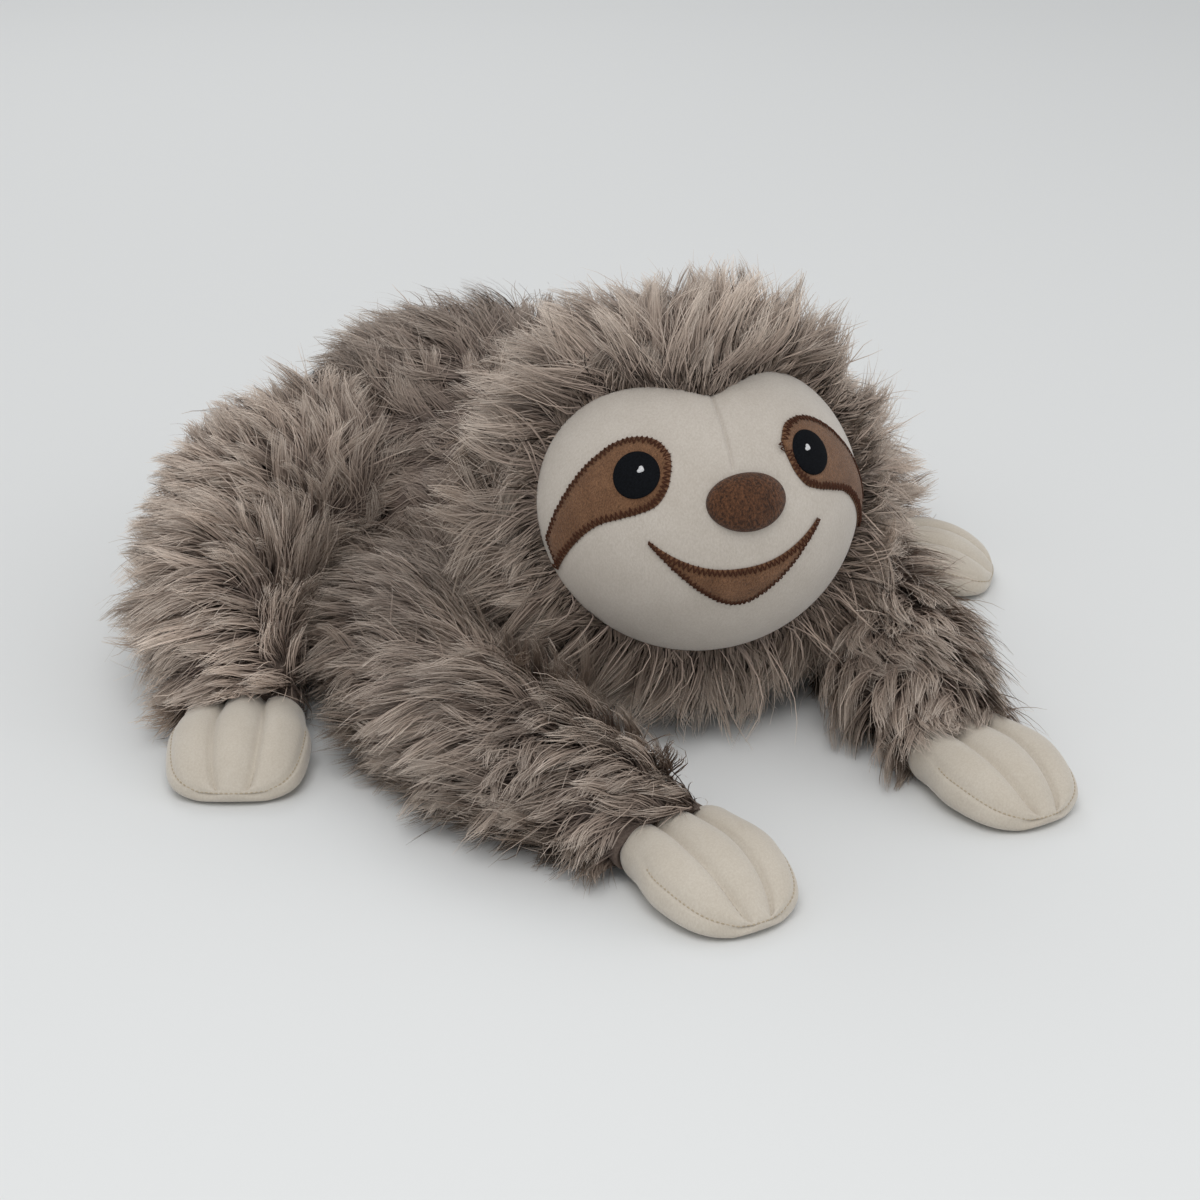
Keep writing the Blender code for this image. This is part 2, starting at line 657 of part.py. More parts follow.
class Patch:
    """A sewn shape on the face, from an upper and a lower edge read along its length."""

    def __init__(self, upper, lower):
        self.upper, self.lower = upper, lower

    def place(self, along, across):
        high, low = self.upper(along), self.lower(along)
        return tuple(h + (w - h) * across for h, w in zip(high, low))

    def width(self, along):
        return (on_face(self.place(along, 0), 0) - on_face(self.place(along, 1), 0)).length

    def grid(self, margin, end_share, lift):
        """Points over the patch, a margin inside its long edges and a share of its length off its ends."""
        lines = []
        for i in range(PATCH_ROWS + 1):
            along = end_share + (1 - 2 * end_share) * i / PATCH_ROWS
            edge = margin / self.width(along)
            lines.append([on_face(self.place(along, edge + (1 - 2 * edge) * j / PATCH_COLUMNS), lift)
                          for j in range(PATCH_COLUMNS + 1)])
        return lines


def outline(grid):
    rows, columns = len(grid), len(grid[0])
    line = list(grid[0]) + [grid[i][-1] for i in range(1, rows)]
    return line + list(grid[-1][-2::-1]) + [grid[i][0] for i in range(rows - 2, 0, -1)]


def make_patch(label, stitching, patch, stitch_share, gap_share, head, cloth, thread):
    """The cloth of a patch, and round it the sewn border that holds it down."""
    low, high = APPLIQUE_LIFT, APPLIQUE_LIFT + APPLIQUE_CLOTH
    loops = [outline(patch.grid(margin, share, lift))
             for lift in (low, high) for margin, share in ((0, 0), (STITCH_WIDTH, stitch_share))]
    solid(stitching, frame_between(*loops), head, thread)
    sheets = [patch.grid(STITCH_WIDTH + SEAM_GAP, stitch_share + gap_share, lift) for lift in (high, low)]
    solid(label, between(*sheets), head, cloth)


def dome(label, centre, half_size, rise, base, rings, sides, head, finish):
    """A round padded piece that follows the face under it."""
    across = on_face((centre[0] + 1, centre[1]), 0) - on_face(centre, 0)
    along = on_face((centre[0], centre[1] + 1), 0) - on_face(centre, 0)
    wide, tall = half_size[0] / across.length, half_size[1] / along.length

    def ring(share, lift):
        places = [(centre[0] + wide * share * math.cos(turn), centre[1] + tall * share * math.sin(turn))
                  for turn in (2 * math.pi * i / sides for i in range(sides))]
        return [on_face(place, lift) for place in places]

    shares = [math.sin(math.pi / 2 * i / rings) for i in range(1, rings + 1)]
    upper = [ring(share, base + rise * (math.sqrt(max(1 - share ** DOME_POWER, 0)) + DOME_EDGE_SHARE))
             for share in shares]
    lower = [ring(share, base) for share in shares]
    top = on_face(centre, base + rise * (1 + DOME_EDGE_SHARE))
    solid(label, polar_solid(upper, lower, top, on_face(centre, base)), head, finish)


def make_mouth(head, brown, thread):
    corner, level = MOUTH_CORNER_DEG
    end = math.degrees(MOUTH_END_HEIGHT / FACE_HALF[2])

    def lip(drop, power, shift):
        def edge(along):
            across = 2 * along - 1
            return corner * across, level + shift - drop * (1 - abs(across) ** power)
        return edge

    mouth = Patch(lip(MOUTH_UPPER_DROP_DEG, MOUTH_UPPER_POWER, end / 2),
                  lip(MOUTH_LOWER_DROP_DEG, MOUTH_LOWER_POWER, -end / 2))
    make_patch("mouth", "mouth_stitching", mouth, MOUTH_STITCH_SHARE, MOUTH_GAP_SHARE, head, brown, thread)


def make_eye(side, label, head, finishes):
    """A brown patch with its sewn border, the eye on it and the glint on the eye."""
    brown, thread, black, white = finishes

    def edge(points):
        return lambda along: mirrored(side, tuple(through([p[k] for p in points], along) for k in (0, 1)))

    patch = Patch(edge(PATCH_UPPER_DEG), edge(PATCH_LOWER_DEG))
    make_patch("eye_patch" + label, "patch_stitching" + label, patch, PATCH_STITCH_SHARE, PATCH_GAP_SHARE,
               head, brown, thread)
    base = APPLIQUE_LIFT + APPLIQUE_CLOTH + SEAM_GAP
    dome("eye" + label, mirrored(side, EYE_PLACE_DEG), (EYE_DIAMETER / 2, EYE_DIAMETER / 2), EYE_DOME, base,
         EYE_RINGS, ROUND_SIDES, head, black)
    over = base + EYE_DOME * (1 + DOME_EDGE_SHARE) + SEAM_GAP
    dome("eye_glint" + label, mirrored(side, GLINT_PLACE_DEG), (GLINT_DIAMETER / 2, GLINT_DIAMETER / 2),
         GLINT_DOME, over, 1, GLINT_SIDES, head, white)


def limbs():
    """Both arms and both legs, the right one of each first."""
    for side, path in ((-1, RIGHT_ARM_PATH_SHARES), (1, LEFT_ARM_PATH_SHARES)):
        yield Limb("arm", "shoulder", "hand", side, (side * SHOULDER_SPACING / 2, -SHOULDER_AHEAD, 0), path,
                   ARM_REACH, (ARM_WIDTH, ARM_HEIGHT), (ARM_WIDTH_SHARES, ARM_HEIGHT_SHARES), HAND_LENGTH, 0)
    for side, path, yaw in ((-1, RIGHT_LEG_PATH_SHARES, RIGHT_FOOT_YAW_DEG),
                            (1, LEFT_LEG_PATH_SHARES, LEFT_FOOT_YAW_DEG)):
        yield Limb("leg", "hip", "foot", side, (side * HIP_SPACING / 2, HIP_BEHIND, 0), path, LEG_REACH,
                   (LEG_WIDTH, LEG_HEIGHT), (LEG_WIDTH_SHARES, LEG_HEIGHT_SHARES), FOOT_LENGTH, yaw)


def main():
    clear_scene()
    fur = material("fur_taupe", (0.30, 0.24, 0.20), 0.95, 0.4)
    velboa = material("velboa_cream", (0.60, 0.52, 0.44), 0.85, 0.3)
    brown = material("applique_brown", (0.21, 0.10, 0.05), 0.85, 0.3)
    thread = material("thread_brown", (0.07, 0.02, 0.01), 0.6)
    nose_pile = material("nose_brown", (0.13, 0.06, 0.03), 0.9, 0.3)
    black = material("thread_black", (0.01, 0.01, 0.012), 0.5)
    white = material("thread_white", (0.8, 0.8, 0.8), 0.6)
    filling = material("fibre_filling", (0.85, 0.85, 0.83), 1.0)

    root = empty("toy", (-TOY_MIDDLE_X, -TOY_MIDDLE_Y, 0))
    neck = empty("neck_axis", NECK_PLACE, root)
    seats = [round_seat("neck_seat", HEAD_RADIUS, HEAD_DROP, HEAD_RISE, neck)]
    seats += [make_limb(limb, root, fur, velboa, filling) for limb in limbs()]
    make_body(root, seats, fur, filling)

    head = make_head(neck, fur, velboa, filling)
    dome("nose", NOSE_PLACE_DEG, (NOSE_WIDTH / 2, NOSE_HEIGHT / 2), NOSE_PADDING, APPLIQUE_LIFT,
         NOSE_RINGS, ROUND_SIDES, head, nose_pile)
    make_mouth(head, brown, thread)
    for side, label in ((1, "_left"), (-1, "_right")):
        make_eye(side, label, head, (brown, thread, black, white))


main()
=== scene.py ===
import math

import bmesh
import bpy
import numpy as np
from mathutils import Matrix, Vector
from mathutils.kdtree import KDTree


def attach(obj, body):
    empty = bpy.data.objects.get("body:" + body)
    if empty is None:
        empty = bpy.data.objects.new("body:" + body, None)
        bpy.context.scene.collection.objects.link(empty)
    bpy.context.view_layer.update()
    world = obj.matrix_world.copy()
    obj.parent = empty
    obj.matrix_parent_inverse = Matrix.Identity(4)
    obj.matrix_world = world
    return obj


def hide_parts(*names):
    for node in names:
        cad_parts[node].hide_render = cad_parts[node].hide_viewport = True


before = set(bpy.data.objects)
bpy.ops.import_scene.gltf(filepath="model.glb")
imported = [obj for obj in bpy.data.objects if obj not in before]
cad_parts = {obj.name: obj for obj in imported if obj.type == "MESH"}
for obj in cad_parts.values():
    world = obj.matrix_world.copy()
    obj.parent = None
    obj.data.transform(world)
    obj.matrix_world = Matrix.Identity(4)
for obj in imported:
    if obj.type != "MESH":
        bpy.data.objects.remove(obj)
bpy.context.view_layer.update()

# Places of the model's joints, in metres, and the sizes of its forms
TOY = np.array((0.0064, 0.102, 0.0))
NECK = np.array((0.0064, -0.0351, 0.0902))
HEAD_RADIUS = 0.0820
HEAD_RISE = 0.0842
HEAD_DROP = 0.0760
HEAD_SET_BACK = 0.0067
HEAD_PITCH_DEG = -19.4
HEAD_ROLL_DEG = -1.1
HEAD_YAW_DEG = -14.6
FACE_HALF = np.array((0.0690, 0.0617, 0.0622))
FACE_EDGE_DEG = 75.3
FACE_BROW_DEG = 6.0
FACE_NOTCH_DEG = 38.0
FACE_NOTCH_SPREAD_DEG = 38.6

TORSO_HALF = (0.0800, 0.1050)
TORSO_TOP = 0.1180
TORSO_MIDDLE_HEIGHT = 0.0540
TORSO_SAG = 0.0100
TORSO_BLUNTNESS = 0.72
TORSO_FRONT_TAPER = 0.13
FLOOR_FLAT = 0.0015
FLOOR_GAP = 0.0006

PAW_WIDTH = 0.0560
PAW_BASE_WIDTH = 0.0480
PAW_BASE_HEIGHT = 0.0240
PAW_CROWN = 0.0270
PAW_SEAM_HEIGHT = 0.0060
PAW_LIFT = 0.00015

# How deep the backing cloth lies under the solids' surface, and where it ends short of a paw
PILE_DEPTH = 0.0095
CUFF_GAP = 0.0035
CUFF_EASE = 0.0240
CUFF_SLACK = 0.0008
CUFF_TURN_IN = 0.004

# Each limb has its form, then how its pile is brushed. Outward, down, ahead and lift, which is in degrees,
# give a value at the root and what is added on the way to the cuff. Shade gives the pile's tone, set lighter
# or darker for each limb as painted light and shade, and how much painted shade darkens the root by the body;
# pile is the longest hair in metres
ARM = dict(kind="arm", paw="hand", seed=23, reach=0.1940, radius=0.0380, half_height=0.0280,
           paw_length=0.0520, widths=(1.0, 0.93, 0.87, 0.79, 0.70),
           heights=(1.0, 1.02, 1.0, 0.90, 0.76), tip_share=0.84, tip_power=2.8, swell_share=0.30,
           turn_from=0.78, turn_over=0.22, pile_places=(0, 1), pile_shares=(1, 1))
LEG = dict(kind="leg", paw="foot", seed=28, reach=0.1150, radius=0.0480, half_height=0.0500,
           paw_length=0.0480, widths=(1.0, 0.93, 0.78, 0.66, 0.54),
           heights=(1.0, 0.96, 0.83, 0.68, 0.48), tip_share=0.72, tip_power=3.6, swell_share=0.25,
           turn_from=0.84, turn_over=0.14, pile_places=(0, 0.15, 0.35, 0.50, 0.70, 1),
           pile_shares=(0.95, 0.85, 0.76, 0.88, 1.06, 1.06), outward=(0.95, -0.45), down=(0.15, 0.40),
           ahead=(-0.35, 0.80), lift=(47, -8), bend=0.66, droop=0.24, pile=0.0310, shade=(0.56, 0.0))
LIMBS = (dict(ARM, side=-1, root=(-0.0740, -0.0630), path=((0.31, 0.26), (0.72, 0.17), (1.0, 0.015)), yaw=0.0,
              outward=(0.85, -0.20), down=(0.22, 0.25), ahead=(-0.42, 0.08), lift=(52, -10), bend=0.78,
              droop=0.34, pile=0.0312, shade=(0.28, 0.18)),
         dict(ARM, side=1, root=(0.0740, -0.0630), path=((0.30, 0.19), (0.70, -0.07), (0.974, -0.088)),
              yaw=0.0, outward=(-0.15, 0.0), down=(0.55, 0.0), ahead=(0.90, 0.0), lift=(44, -6), bend=0.72,
              droop=0.26, pile=0.0320, shade=(0.45, 0.0)),
         dict(LEG, side=-1, root=(-0.0720, 0.0330), path=((0.0, 0.52), (0.62, 0.68), (1.04, 0.85)), yaw=31.0),
         dict(LEG, side=1, root=(0.0720, 0.0330), path=((0.0, 0.74), (0.68, 0.58), (1.02, 0.69)), yaw=50.0))

DOWN = np.array((0.0, 0.0, -1.0))
UP = np.array((0.0, 0.0, 1.0))


# Small vector tools

def unit(v):
    return v / np.maximum(np.linalg.norm(v, axis=-1, keepdims=True), 1e-9)


def smooth(x):
    x = np.clip(x, 0, 1)
    return x * x * (3 - 2 * x)


def rising(x, start, over):
    """From 0 to 1 as x goes on from start, over a length that is negative where x goes down."""
    return smooth((x - start) / over)


def bell(x, width):
    return np.exp(-(x / width) ** 2)


def through(values, x):
    """Read a smooth curve through evenly spaced values at x from 0 to 1."""
    values = np.asarray(values, float)
    x = np.clip(np.asarray(x, float), 0, 1) * (len(values) - 1)
    i = np.minimum(x.astype(int), len(values) - 2)
    u = x - i
    a, b, c, d = (values[np.clip(i + k, 0, len(values) - 1)] for k in (-1, 0, 1, 2))
    bow, twist = a - b * 5 / 2 + c * 2 - d / 2, (d - a) / 2 + (b - c) * 3 / 2
    return b + (c - a) / 2 * u + bow * u ** 2 + twist * u ** 3


def tangent_to(vectors, normals):
    return unit(vectors - normals * (vectors * normals).sum(-1, keepdims=True))


def reach_in(points, half, middle=0.0):
    """The square of how far points are on the way from the middle of a round form to its skin."""
    return (((points - middle) / half) ** 2).sum(-1)


def to_skin(direction, half):
    return direction / np.sqrt(((direction / half) ** 2).sum(-1, keepdims=True))


def way_out(start, ray):
    """How far along a ray it leaves the unit ball, and whether it starts in it."""
    a, b, c = (ray * ray).sum(-1), (ray * start).sum(-1), (start * start).sum(-1) - 1
    return (-b + np.sqrt(np.maximum(b * b - a * c, 0))) / np.maximum(a, 1e-12), c < 0


# Meshes

def quads_of(rows, columns, closed):
    """Faces of a grid of points, whose columns may close on themselves."""
    i, j = np.meshgrid(np.arange(rows - 1), np.arange(columns if closed else columns - 1), indexing="ij")
    k = (j + 1) % columns
    corners = (i * columns + j, i * columns + k, (i + 1) * columns + k, (i + 1) * columns + j)
    return np.stack(corners, -1).reshape(-1, 4)


def add_object(name, data):
    made = bpy.data.objects.new(name, data)
    bpy.context.collection.objects.link(made)
    return made


def make_object(name, points, faces, finish):
    mesh = bpy.data.meshes.new(name)
    mesh.from_pydata(np.asarray(points).tolist(), [], [list(f) for f in faces])
    mesh.validate()
    mesh.shade_smooth()
    mesh.materials.append(finish)
    return add_object(name, mesh)


def closed_rings(rings):
    """Skin a row of closed rings whose two ends are single points."""
    rows, columns = rings.shape[0] - 2, rings.shape[1]
    points = np.concatenate((rings[1:-1].reshape(-1, 3), rings[0, :1], rings[-1, :1]))
    faces = [tuple(f) for f in quads_of(rows, columns, True)]
    first, last = rows * columns, rows * columns + 1
    for j in range(columns):
        k = (j + 1) % columns
        faces.append((first, k, j))
        faces.append((last, (rows - 1) * columns + j, (rows - 1) * columns + k))
    return points, facing_out(points, faces)


def triangles(faces):
    out = []
    for f in faces:
        out.append(f[:3])
        if len(f) == 4:
            out.append((f[0], f[2], f[3]))
    return np.array(out)


def facing_out(points, faces):
    """Turn the faces round if the closed mesh is inside out."""
    t = triangles(faces)
    a, b, c = (points[t[:, k]] for k in range(3))
    if (np.cross(a, b) * c).sum() < 0:
        return [f[::-1] for f in faces]
    return faces


def scatter(points, faces, spacing, rng):
    """Even random places on a mesh, one for each square of the spacing, with their normals."""
    t = triangles(faces)
    a, b, c = (points[t[:, k]] for k in range(3))
    flat = np.cross(b - a, c - a)
    normals = np.zeros_like(points)
    for k in range(3):
        np.add.at(normals, t[:, k], flat)
    normals = unit(normals)
    area = np.linalg.norm(flat, axis=1) / 2
    count = int(area.sum() / spacing ** 2)
    pick = rng.choice(len(t), count, p=area / area.sum())
    u, v = rng.random((2, count, 1))
    u, v = np.where(u + v > 1, 1 - u, u), np.where(u + v > 1, 1 - v, v)
    w = 1 - u - v
    places = a[pick] * w + b[pick] * u + c[pick] * v
    n = normals[t[pick, 0]] * w + normals[t[pick, 1]] * u + normals[t[pick, 2]] * v
    return places, unit(n)


def put_on(made, body, nodes=()):
    """Give a piece its body, and hide the nodes it replaces."""
    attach(made, body)
    if nodes:
        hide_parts(*nodes)


# Materials

def new_material(name, roughness, sheen=0.0, specular=0.5):
    made = bpy.data.materials.new(name)
    made.use_nodes = True
    shader = made.node_tree.nodes["Principled BSDF"]
    shader.inputs["Roughness"].default_value = roughness
    shader.inputs["Sheen Weight"].default_value = sheen
    shader.inputs["Specular IOR Level"].default_value = specular
    return made, made.node_tree, shader


def add_node(tree, kind, **inputs):
    """A new node, fed with values and with the outputs of others."""
    node = tree.nodes.new("ShaderNode" + kind)
    for key, value in inputs.items():
        if isinstance(value, bpy.types.NodeSocket):
            tree.links.new(value, node.inputs[key])
        else:
            node.inputs[key].default_value = value
    return node


def ramp(tree, source, stops):
    node = add_node(tree, "ValToRGB", Fac=source)
    elements = node.color_ramp.elements
    while len(elements) < len(stops):
        elements.new(0.5)
    for element, (place, colour) in zip(elements, stops):
        element.position = place
        element.color = (*colour, 1)
    return node.outputs["Color"]


def multiplied(tree, a, b):
    """Multiply two colours."""
    node = add_node(tree, "Mix")
    node.data_type = "RGBA"
    node.blend_type = "MULTIPLY"
    sockets = {s.name: s for s in node.inputs if s.enabled}
    sockets["Factor"].default_value = 1.0
    tree.links.new(a, sockets["A"])
    tree.links.new(b, sockets["B"])
    return next(s for s in node.outputs if s.enabled)


def object_noise(tree, scale, detail, roughness=0.6, stretch=(1, 1, 1)):
    place = add_node(tree, "TexCoord").outputs["Object"]
    place = add_node(tree, "Mapping", Vector=place, Scale=stretch).outputs["Vector"]
    noise = add_node(tree, "TexNoise", Vector=place, Scale=scale, Detail=detail, Roughness=roughness)
    return noise.outputs["Fac"]


def bump(tree, shader, heights):
    """Add bumps, each a height source, its strength and its distance."""
    below = {}
    for height, strength, distance in heights:
        node = add_node(tree, "Bump", Height=height, Strength=strength, Distance=distance, **below)
        below = {"Normal": node.outputs["Normal"]}
    tree.links.new(below["Normal"], shader.inputs["Normal"])


def pile_material():
    """Long hairs: dark at the root, pale at the tip, each with its own tone along U."""
    made, tree, shader = new_material("long_pile", 0.55, 0.0, 0.35)
    uv = add_node(tree, "UVMap")
    uv.uv_map = "OFBake"
    split = add_node(tree, "SeparateXYZ", Vector=uv.outputs["UV"])
    along = ramp(tree, split.outputs["Y"], ((0.0, (0.165, 0.122, 0.102)), (0.30, (0.295, 0.224, 0.181)),
                                            (0.70, (0.455, 0.364, 0.298)), (1.0, (0.680, 0.584, 0.500))))
    tone = ramp(tree, split.outputs["X"], ((0.0, (0.52, 0.50, 0.49)), (0.5, (0.94, 0.94, 0.94)),
                                           (1.0, (1.32, 1.32, 1.32))))
    tree.links.new(multiplied(tree, along, tone), shader.inputs["Base Color"])
    return made


def two_tone_material(name, dark, light, roughness, specular, scale, strength, distance):
    """One colour that changes finely, with a bump to match: the pile's woven backing, and sewing thread."""
    made, tree, shader = new_material(name, roughness, 0.0, specular)
    fine = object_noise(tree, scale, 2)
    tree.links.new(ramp(tree, fine, ((0.3, dark), (0.7, light))), shader.inputs["Base Color"])
    bump(tree, shader, ((fine, strength, distance),))
    return made


def thread_material(name, dark, light, roughness, specular):
    return two_tone_material(name, dark, light, roughness, specular, 1800, 0.4, 0.0003)


def short_pile_material(name, low, high, roughness=0.85, sheen=0.35, grain=1400, soft=60, strength=0.35,
                        fleck=0.15):
    """Brushed cloth: a fine nap over slow changes of tone."""
    made, tree, shader = new_material(name, roughness, sheen, 0.25)
    shader.inputs["Sheen Roughness"].default_value = 0.5
    fine = object_noise(tree, grain, 3, 0.7, (1, 1, 0.6))
    slow = object_noise(tree, soft, 4, 0.55)
    colour = ramp(tree, slow, ((0.3, low), (0.7, high)))
    dark, light = 1 - fleck, 1 + 0.4 * fleck
    speck = ramp(tree, fine, ((0.36, (dark, dark * 0.98, dark * 0.96)), (0.64, (light, light, light))))
    tree.links.new(multiplied(tree, colour, speck), shader.inputs["Base Color"])
    bump(tree, shader, ((slow, 0.25, 0.0012), (fine, strength, 0.0004)))
    return made


PILE = pile_material()
BACKING = two_tone_material("pile_backing", (0.095, 0.070, 0.058), (0.150, 0.115, 0.095), 0.95, 0.2, 900, 0.6,
                            0.0008)
CREAM = short_pile_material("short_pile_cream", (0.465, 0.420, 0.368), (0.505, 0.461, 0.409), fleck=0.09)
PAW_CREAM = short_pile_material("short_pile_paw", (0.505, 0.452, 0.378), (0.550, 0.500, 0.428), soft=45,
                                fleck=0.07)
BROWN = short_pile_material("short_pile_brown", (0.140, 0.066, 0.031), (0.200, 0.100, 0.050), 0.9, 0.15, 1900,
                            110, 1.2, 0.45)
NOSE_BROWN = short_pile_material("looped_nose", (0.080, 0.032, 0.014), (0.112, 0.047, 0.021), 0.9, 0.1, 1150,
                                 110, 1.8, 0.75)
STITCH = thread_material("stitch_dark_brown", (0.036, 0.013, 0.007), (0.082, 0.031, 0.016), 0.7, 0.12)
SEAM_THREAD = thread_material("stitch_tan", (0.37, 0.30, 0.21), (0.47, 0.40, 0.30), 0.8, 0.1)
CHANNEL_THREAD = thread_material("stitch_cream", (0.46, 0.405, 0.325), (0.54, 0.485, 0.40), 0.8, 0.1)
EYE_BLACK = thread_material("satin_black", (0.002, 0.0022, 0.003), (0.006, 0.007, 0.009), 0.7, 0.06)
GLINT_WHITE = thread_material("satin_white", (0.42, 0.42, 0.43), (0.66, 0.66, 0.66), 0.7, 0.2)


# The head's frame

HEAD_TURN = np.array(Matrix.Rotation(math.radians(HEAD_YAW_DEG), 3, "Z")
                     @ Matrix.Rotation(math.radians(HEAD_PITCH_DEG), 3, "X")
                     @ Matrix.Rotation(math.radians(HEAD_ROLL_DEG), 3, "Y"))
FACE_CENTRE = NECK + np.array((0.0, -HEAD_SET_BACK, 0.0))
FACE_WAY = np.array((0.0, -1.0, 0.0))


def from_head(points):
    return points @ HEAD_TURN.T + FACE_CENTRE


def to_head(points):
    return (points - FACE_CENTRE) @ HEAD_TURN


def about_face(points):
    """Points in the head's frame, how far out they are, and their angles from and round the way it faces."""
    local = to_head(points)
    size = np.linalg.norm(local, axis=-1)
    away = np.arccos(np.clip(-local[..., 1] / size, -1, 1))
    return local, size, away, np.arctan2(local[..., 0], local[..., 2])


def way(turn, away):
    return np.stack((np.sin(away) * np.sin(turn), -np.cos(away) + 0 * turn, np.sin(away) * np.cos(turn)), -1)


def face_edge(turn):
    off = np.degrees((turn + np.pi) % (2 * np.pi) - np.pi) / FACE_NOTCH_SPREAD_DEG
    return np.radians(FACE_EDGE_DEG + FACE_BROW_DEG * np.cos(turn) - FACE_NOTCH_DEG * np.exp(-off ** 2))


def on_shell(direction, grow=0.0):
    return to_skin(direction, FACE_HALF + np.asarray(grow)[..., None])


def on_turning_form(direction, grow=0.0):
    """Where a way out of the head leaves the round form that the head turns in."""
    heading = direction @ HEAD_TURN.T
    tall = np.where(heading[..., 2] > 0, HEAD_RISE, HEAD_DROP)
    scale = 1 / (np.stack(np.broadcast_arrays(HEAD_RADIUS, HEAD_RADIUS, tall), -1) + grow)
    far, _ = way_out(np.array((0, -HEAD_SET_BACK, 0)) * scale, heading * scale)
    return direction * far[..., None]


def on_face(longitude, latitude, lift=0.0):
    """A point over the face, by longitude and latitude in degrees, lifted off its cloth."""
    longitude, latitude = np.radians(longitude), np.radians(latitude)
    flat = np.cos(latitude)
    height = np.sin(latitude) + 0 * longitude
    aim = np.stack((flat * np.sin(longitude), -flat * np.cos(longitude), height), -1)
    return aim * FACE_HALF + unit(aim / FACE_HALF) * np.asarray(lift)[..., None]


# Limbs

class Limb:
    def __init__(self, spec):
        self.__dict__.update(spec)
        self.label = "_left" if self.side > 0 else "_right"
        self.body = self.kind + self.label
        self.axis = TOY + np.array((*self.root, 0.0))
        self.points = [np.zeros(2)] + [np.array((self.side * out * self.reach, -ahead * self.reach))
                                       for ahead, out in self.path]
        turn = math.radians(self.yaw) * self.side
        self.paw_turn = np.array(((math.cos(turn), -math.sin(turn), 0), (math.sin(turn), math.cos(turn), 0),
                                  (0, 0, 1)))
        self.cuff = self.axis + np.array((*self.points[-1], PAW_BASE_HEIGHT / 2 + PAW_LIFT))

    def from_paw(self, points):
        return points @ self.paw_turn.T + self.cuff

    def to_paw(self, points):
        return (points - self.cuff) @ self.paw_turn

    def centre(self, t):
        a, b, c, d = self.points
        t = t[:, None]
        return a * (1 - t) ** 3 + b * 3 * t * (1 - t) ** 2 + c * 3 * t ** 2 * (1 - t) + d * t ** 3

    def heading(self, t):
        a, b, c, d = self.points
        t = t[:, None]
        return unit((b - a) * (1 - t) ** 2 + (c - b) * 2 * t * (1 - t) + (d - c) * t ** 2)

    def rings(self, inset, sides=48, cap=12, along=72):
        """Rings of the backing cloth, from the round root to the mouth of the sleeve round the paw's heel."""
        length = np.linalg.norm(np.diff(self.centre(np.linspace(0, 1, 50)), axis=0), axis=1).sum()
        last, ease = 1 - CUFF_GAP / length, CUFF_EASE / length
        turn = 2 * np.pi * (np.arange(sides) + 0.5) / sides
        start = self.heading(np.zeros(1))[0]
        root_wide, root_tall = self.radius - inset, self.half_height - inset
        rows = []
        for i in range(cap):
            polar = np.pi / 2 * i / cap
            rows.append((-start * root_wide * math.cos(polar), start, root_wide * math.sin(polar),
                         root_tall * math.sin(polar), self.half_height - FLOOR_FLAT))
        paw_heading = self.paw_turn[:2] @ FACE_WAY
        mouth_wide, mouth_tall = (PAW_BASE_WIDTH - CUFF_SLACK) / 2, PAW_BASE_HEIGHT / 2 - CUFF_SLACK
        for t in np.linspace(0, last, along):
            s = np.array([t])
            wide = self.radius * through(self.widths, t) - inset
            tall = self.half_height * through(self.heights, t)
            near = float(smooth((t - last + ease) / ease))
            rows.append((self.centre(s)[0], unit(self.heading(s)[0] * (1 - near) + paw_heading * near),
                         wide + (mouth_wide - wide) * near, (tall - inset) * (1 - near) + mouth_tall * near,
                         (tall - FLOOR_FLAT) * (1 - near) + PAW_BASE_HEIGHT / 2 * near))
        place, way_on, wide, tall, level = rows[-1]
        for i in range(1, cap // 2 + 1):
            polar = np.pi / 2 * i / (cap // 2)
            rows.append((place - way_on * CUFF_TURN_IN * math.sin(polar), way_on, wide * math.cos(polar),
                         tall * math.cos(polar), level))
        rings = []
        for place, way_on, wide, tall, level in rows:
            across = np.array((-way_on[1], way_on[0]))
            flat = place + across * (wide * np.cos(turn))[:, None]
            high = np.maximum(level + tall * np.sin(turn), FLOOR_GAP)
            rings.append(np.column_stack((flat, high)) + self.axis)
        return np.array(rings)


# Forms that the backing cloth of a neighbour gives way to: centre, half sizes
def seat_of(limb):
    return (limb.axis + UP * (limb.half_height - FLOOR_FLAT),
            np.array((limb.radius, limb.radius, limb.half_height)))


HEAD_SEAT = (NECK, np.array((HEAD_RADIUS, HEAD_RADIUS, HEAD_DROP)))


def inside(points, seat, grow=0.0):
    middle, half = seat
    return reach_in(points, half + grow, middle) < 1


def give_way(points, seat, heading, grow=0.0003):
    """Move the points that lie in a neighbour's seat along their heading until they are out of it."""
    middle, half = seat
    scale = 1 / (half + grow)
    far, within = way_out((points - middle) * scale, heading * scale)
    return points + heading * np.where(within, far, 0)[:, None]


# Pile

STRAND_STEPS = 5
STRAND_WIDTH = 0.00046
STRANDS_A_PIECE = 18800
LOCK = 0.0056
TUFT = 0.0160
SHORTEST = 0.0040
FLOOR_HAIR = 0.0005
FLOOR_HAIR_SPREAD = 0.0025

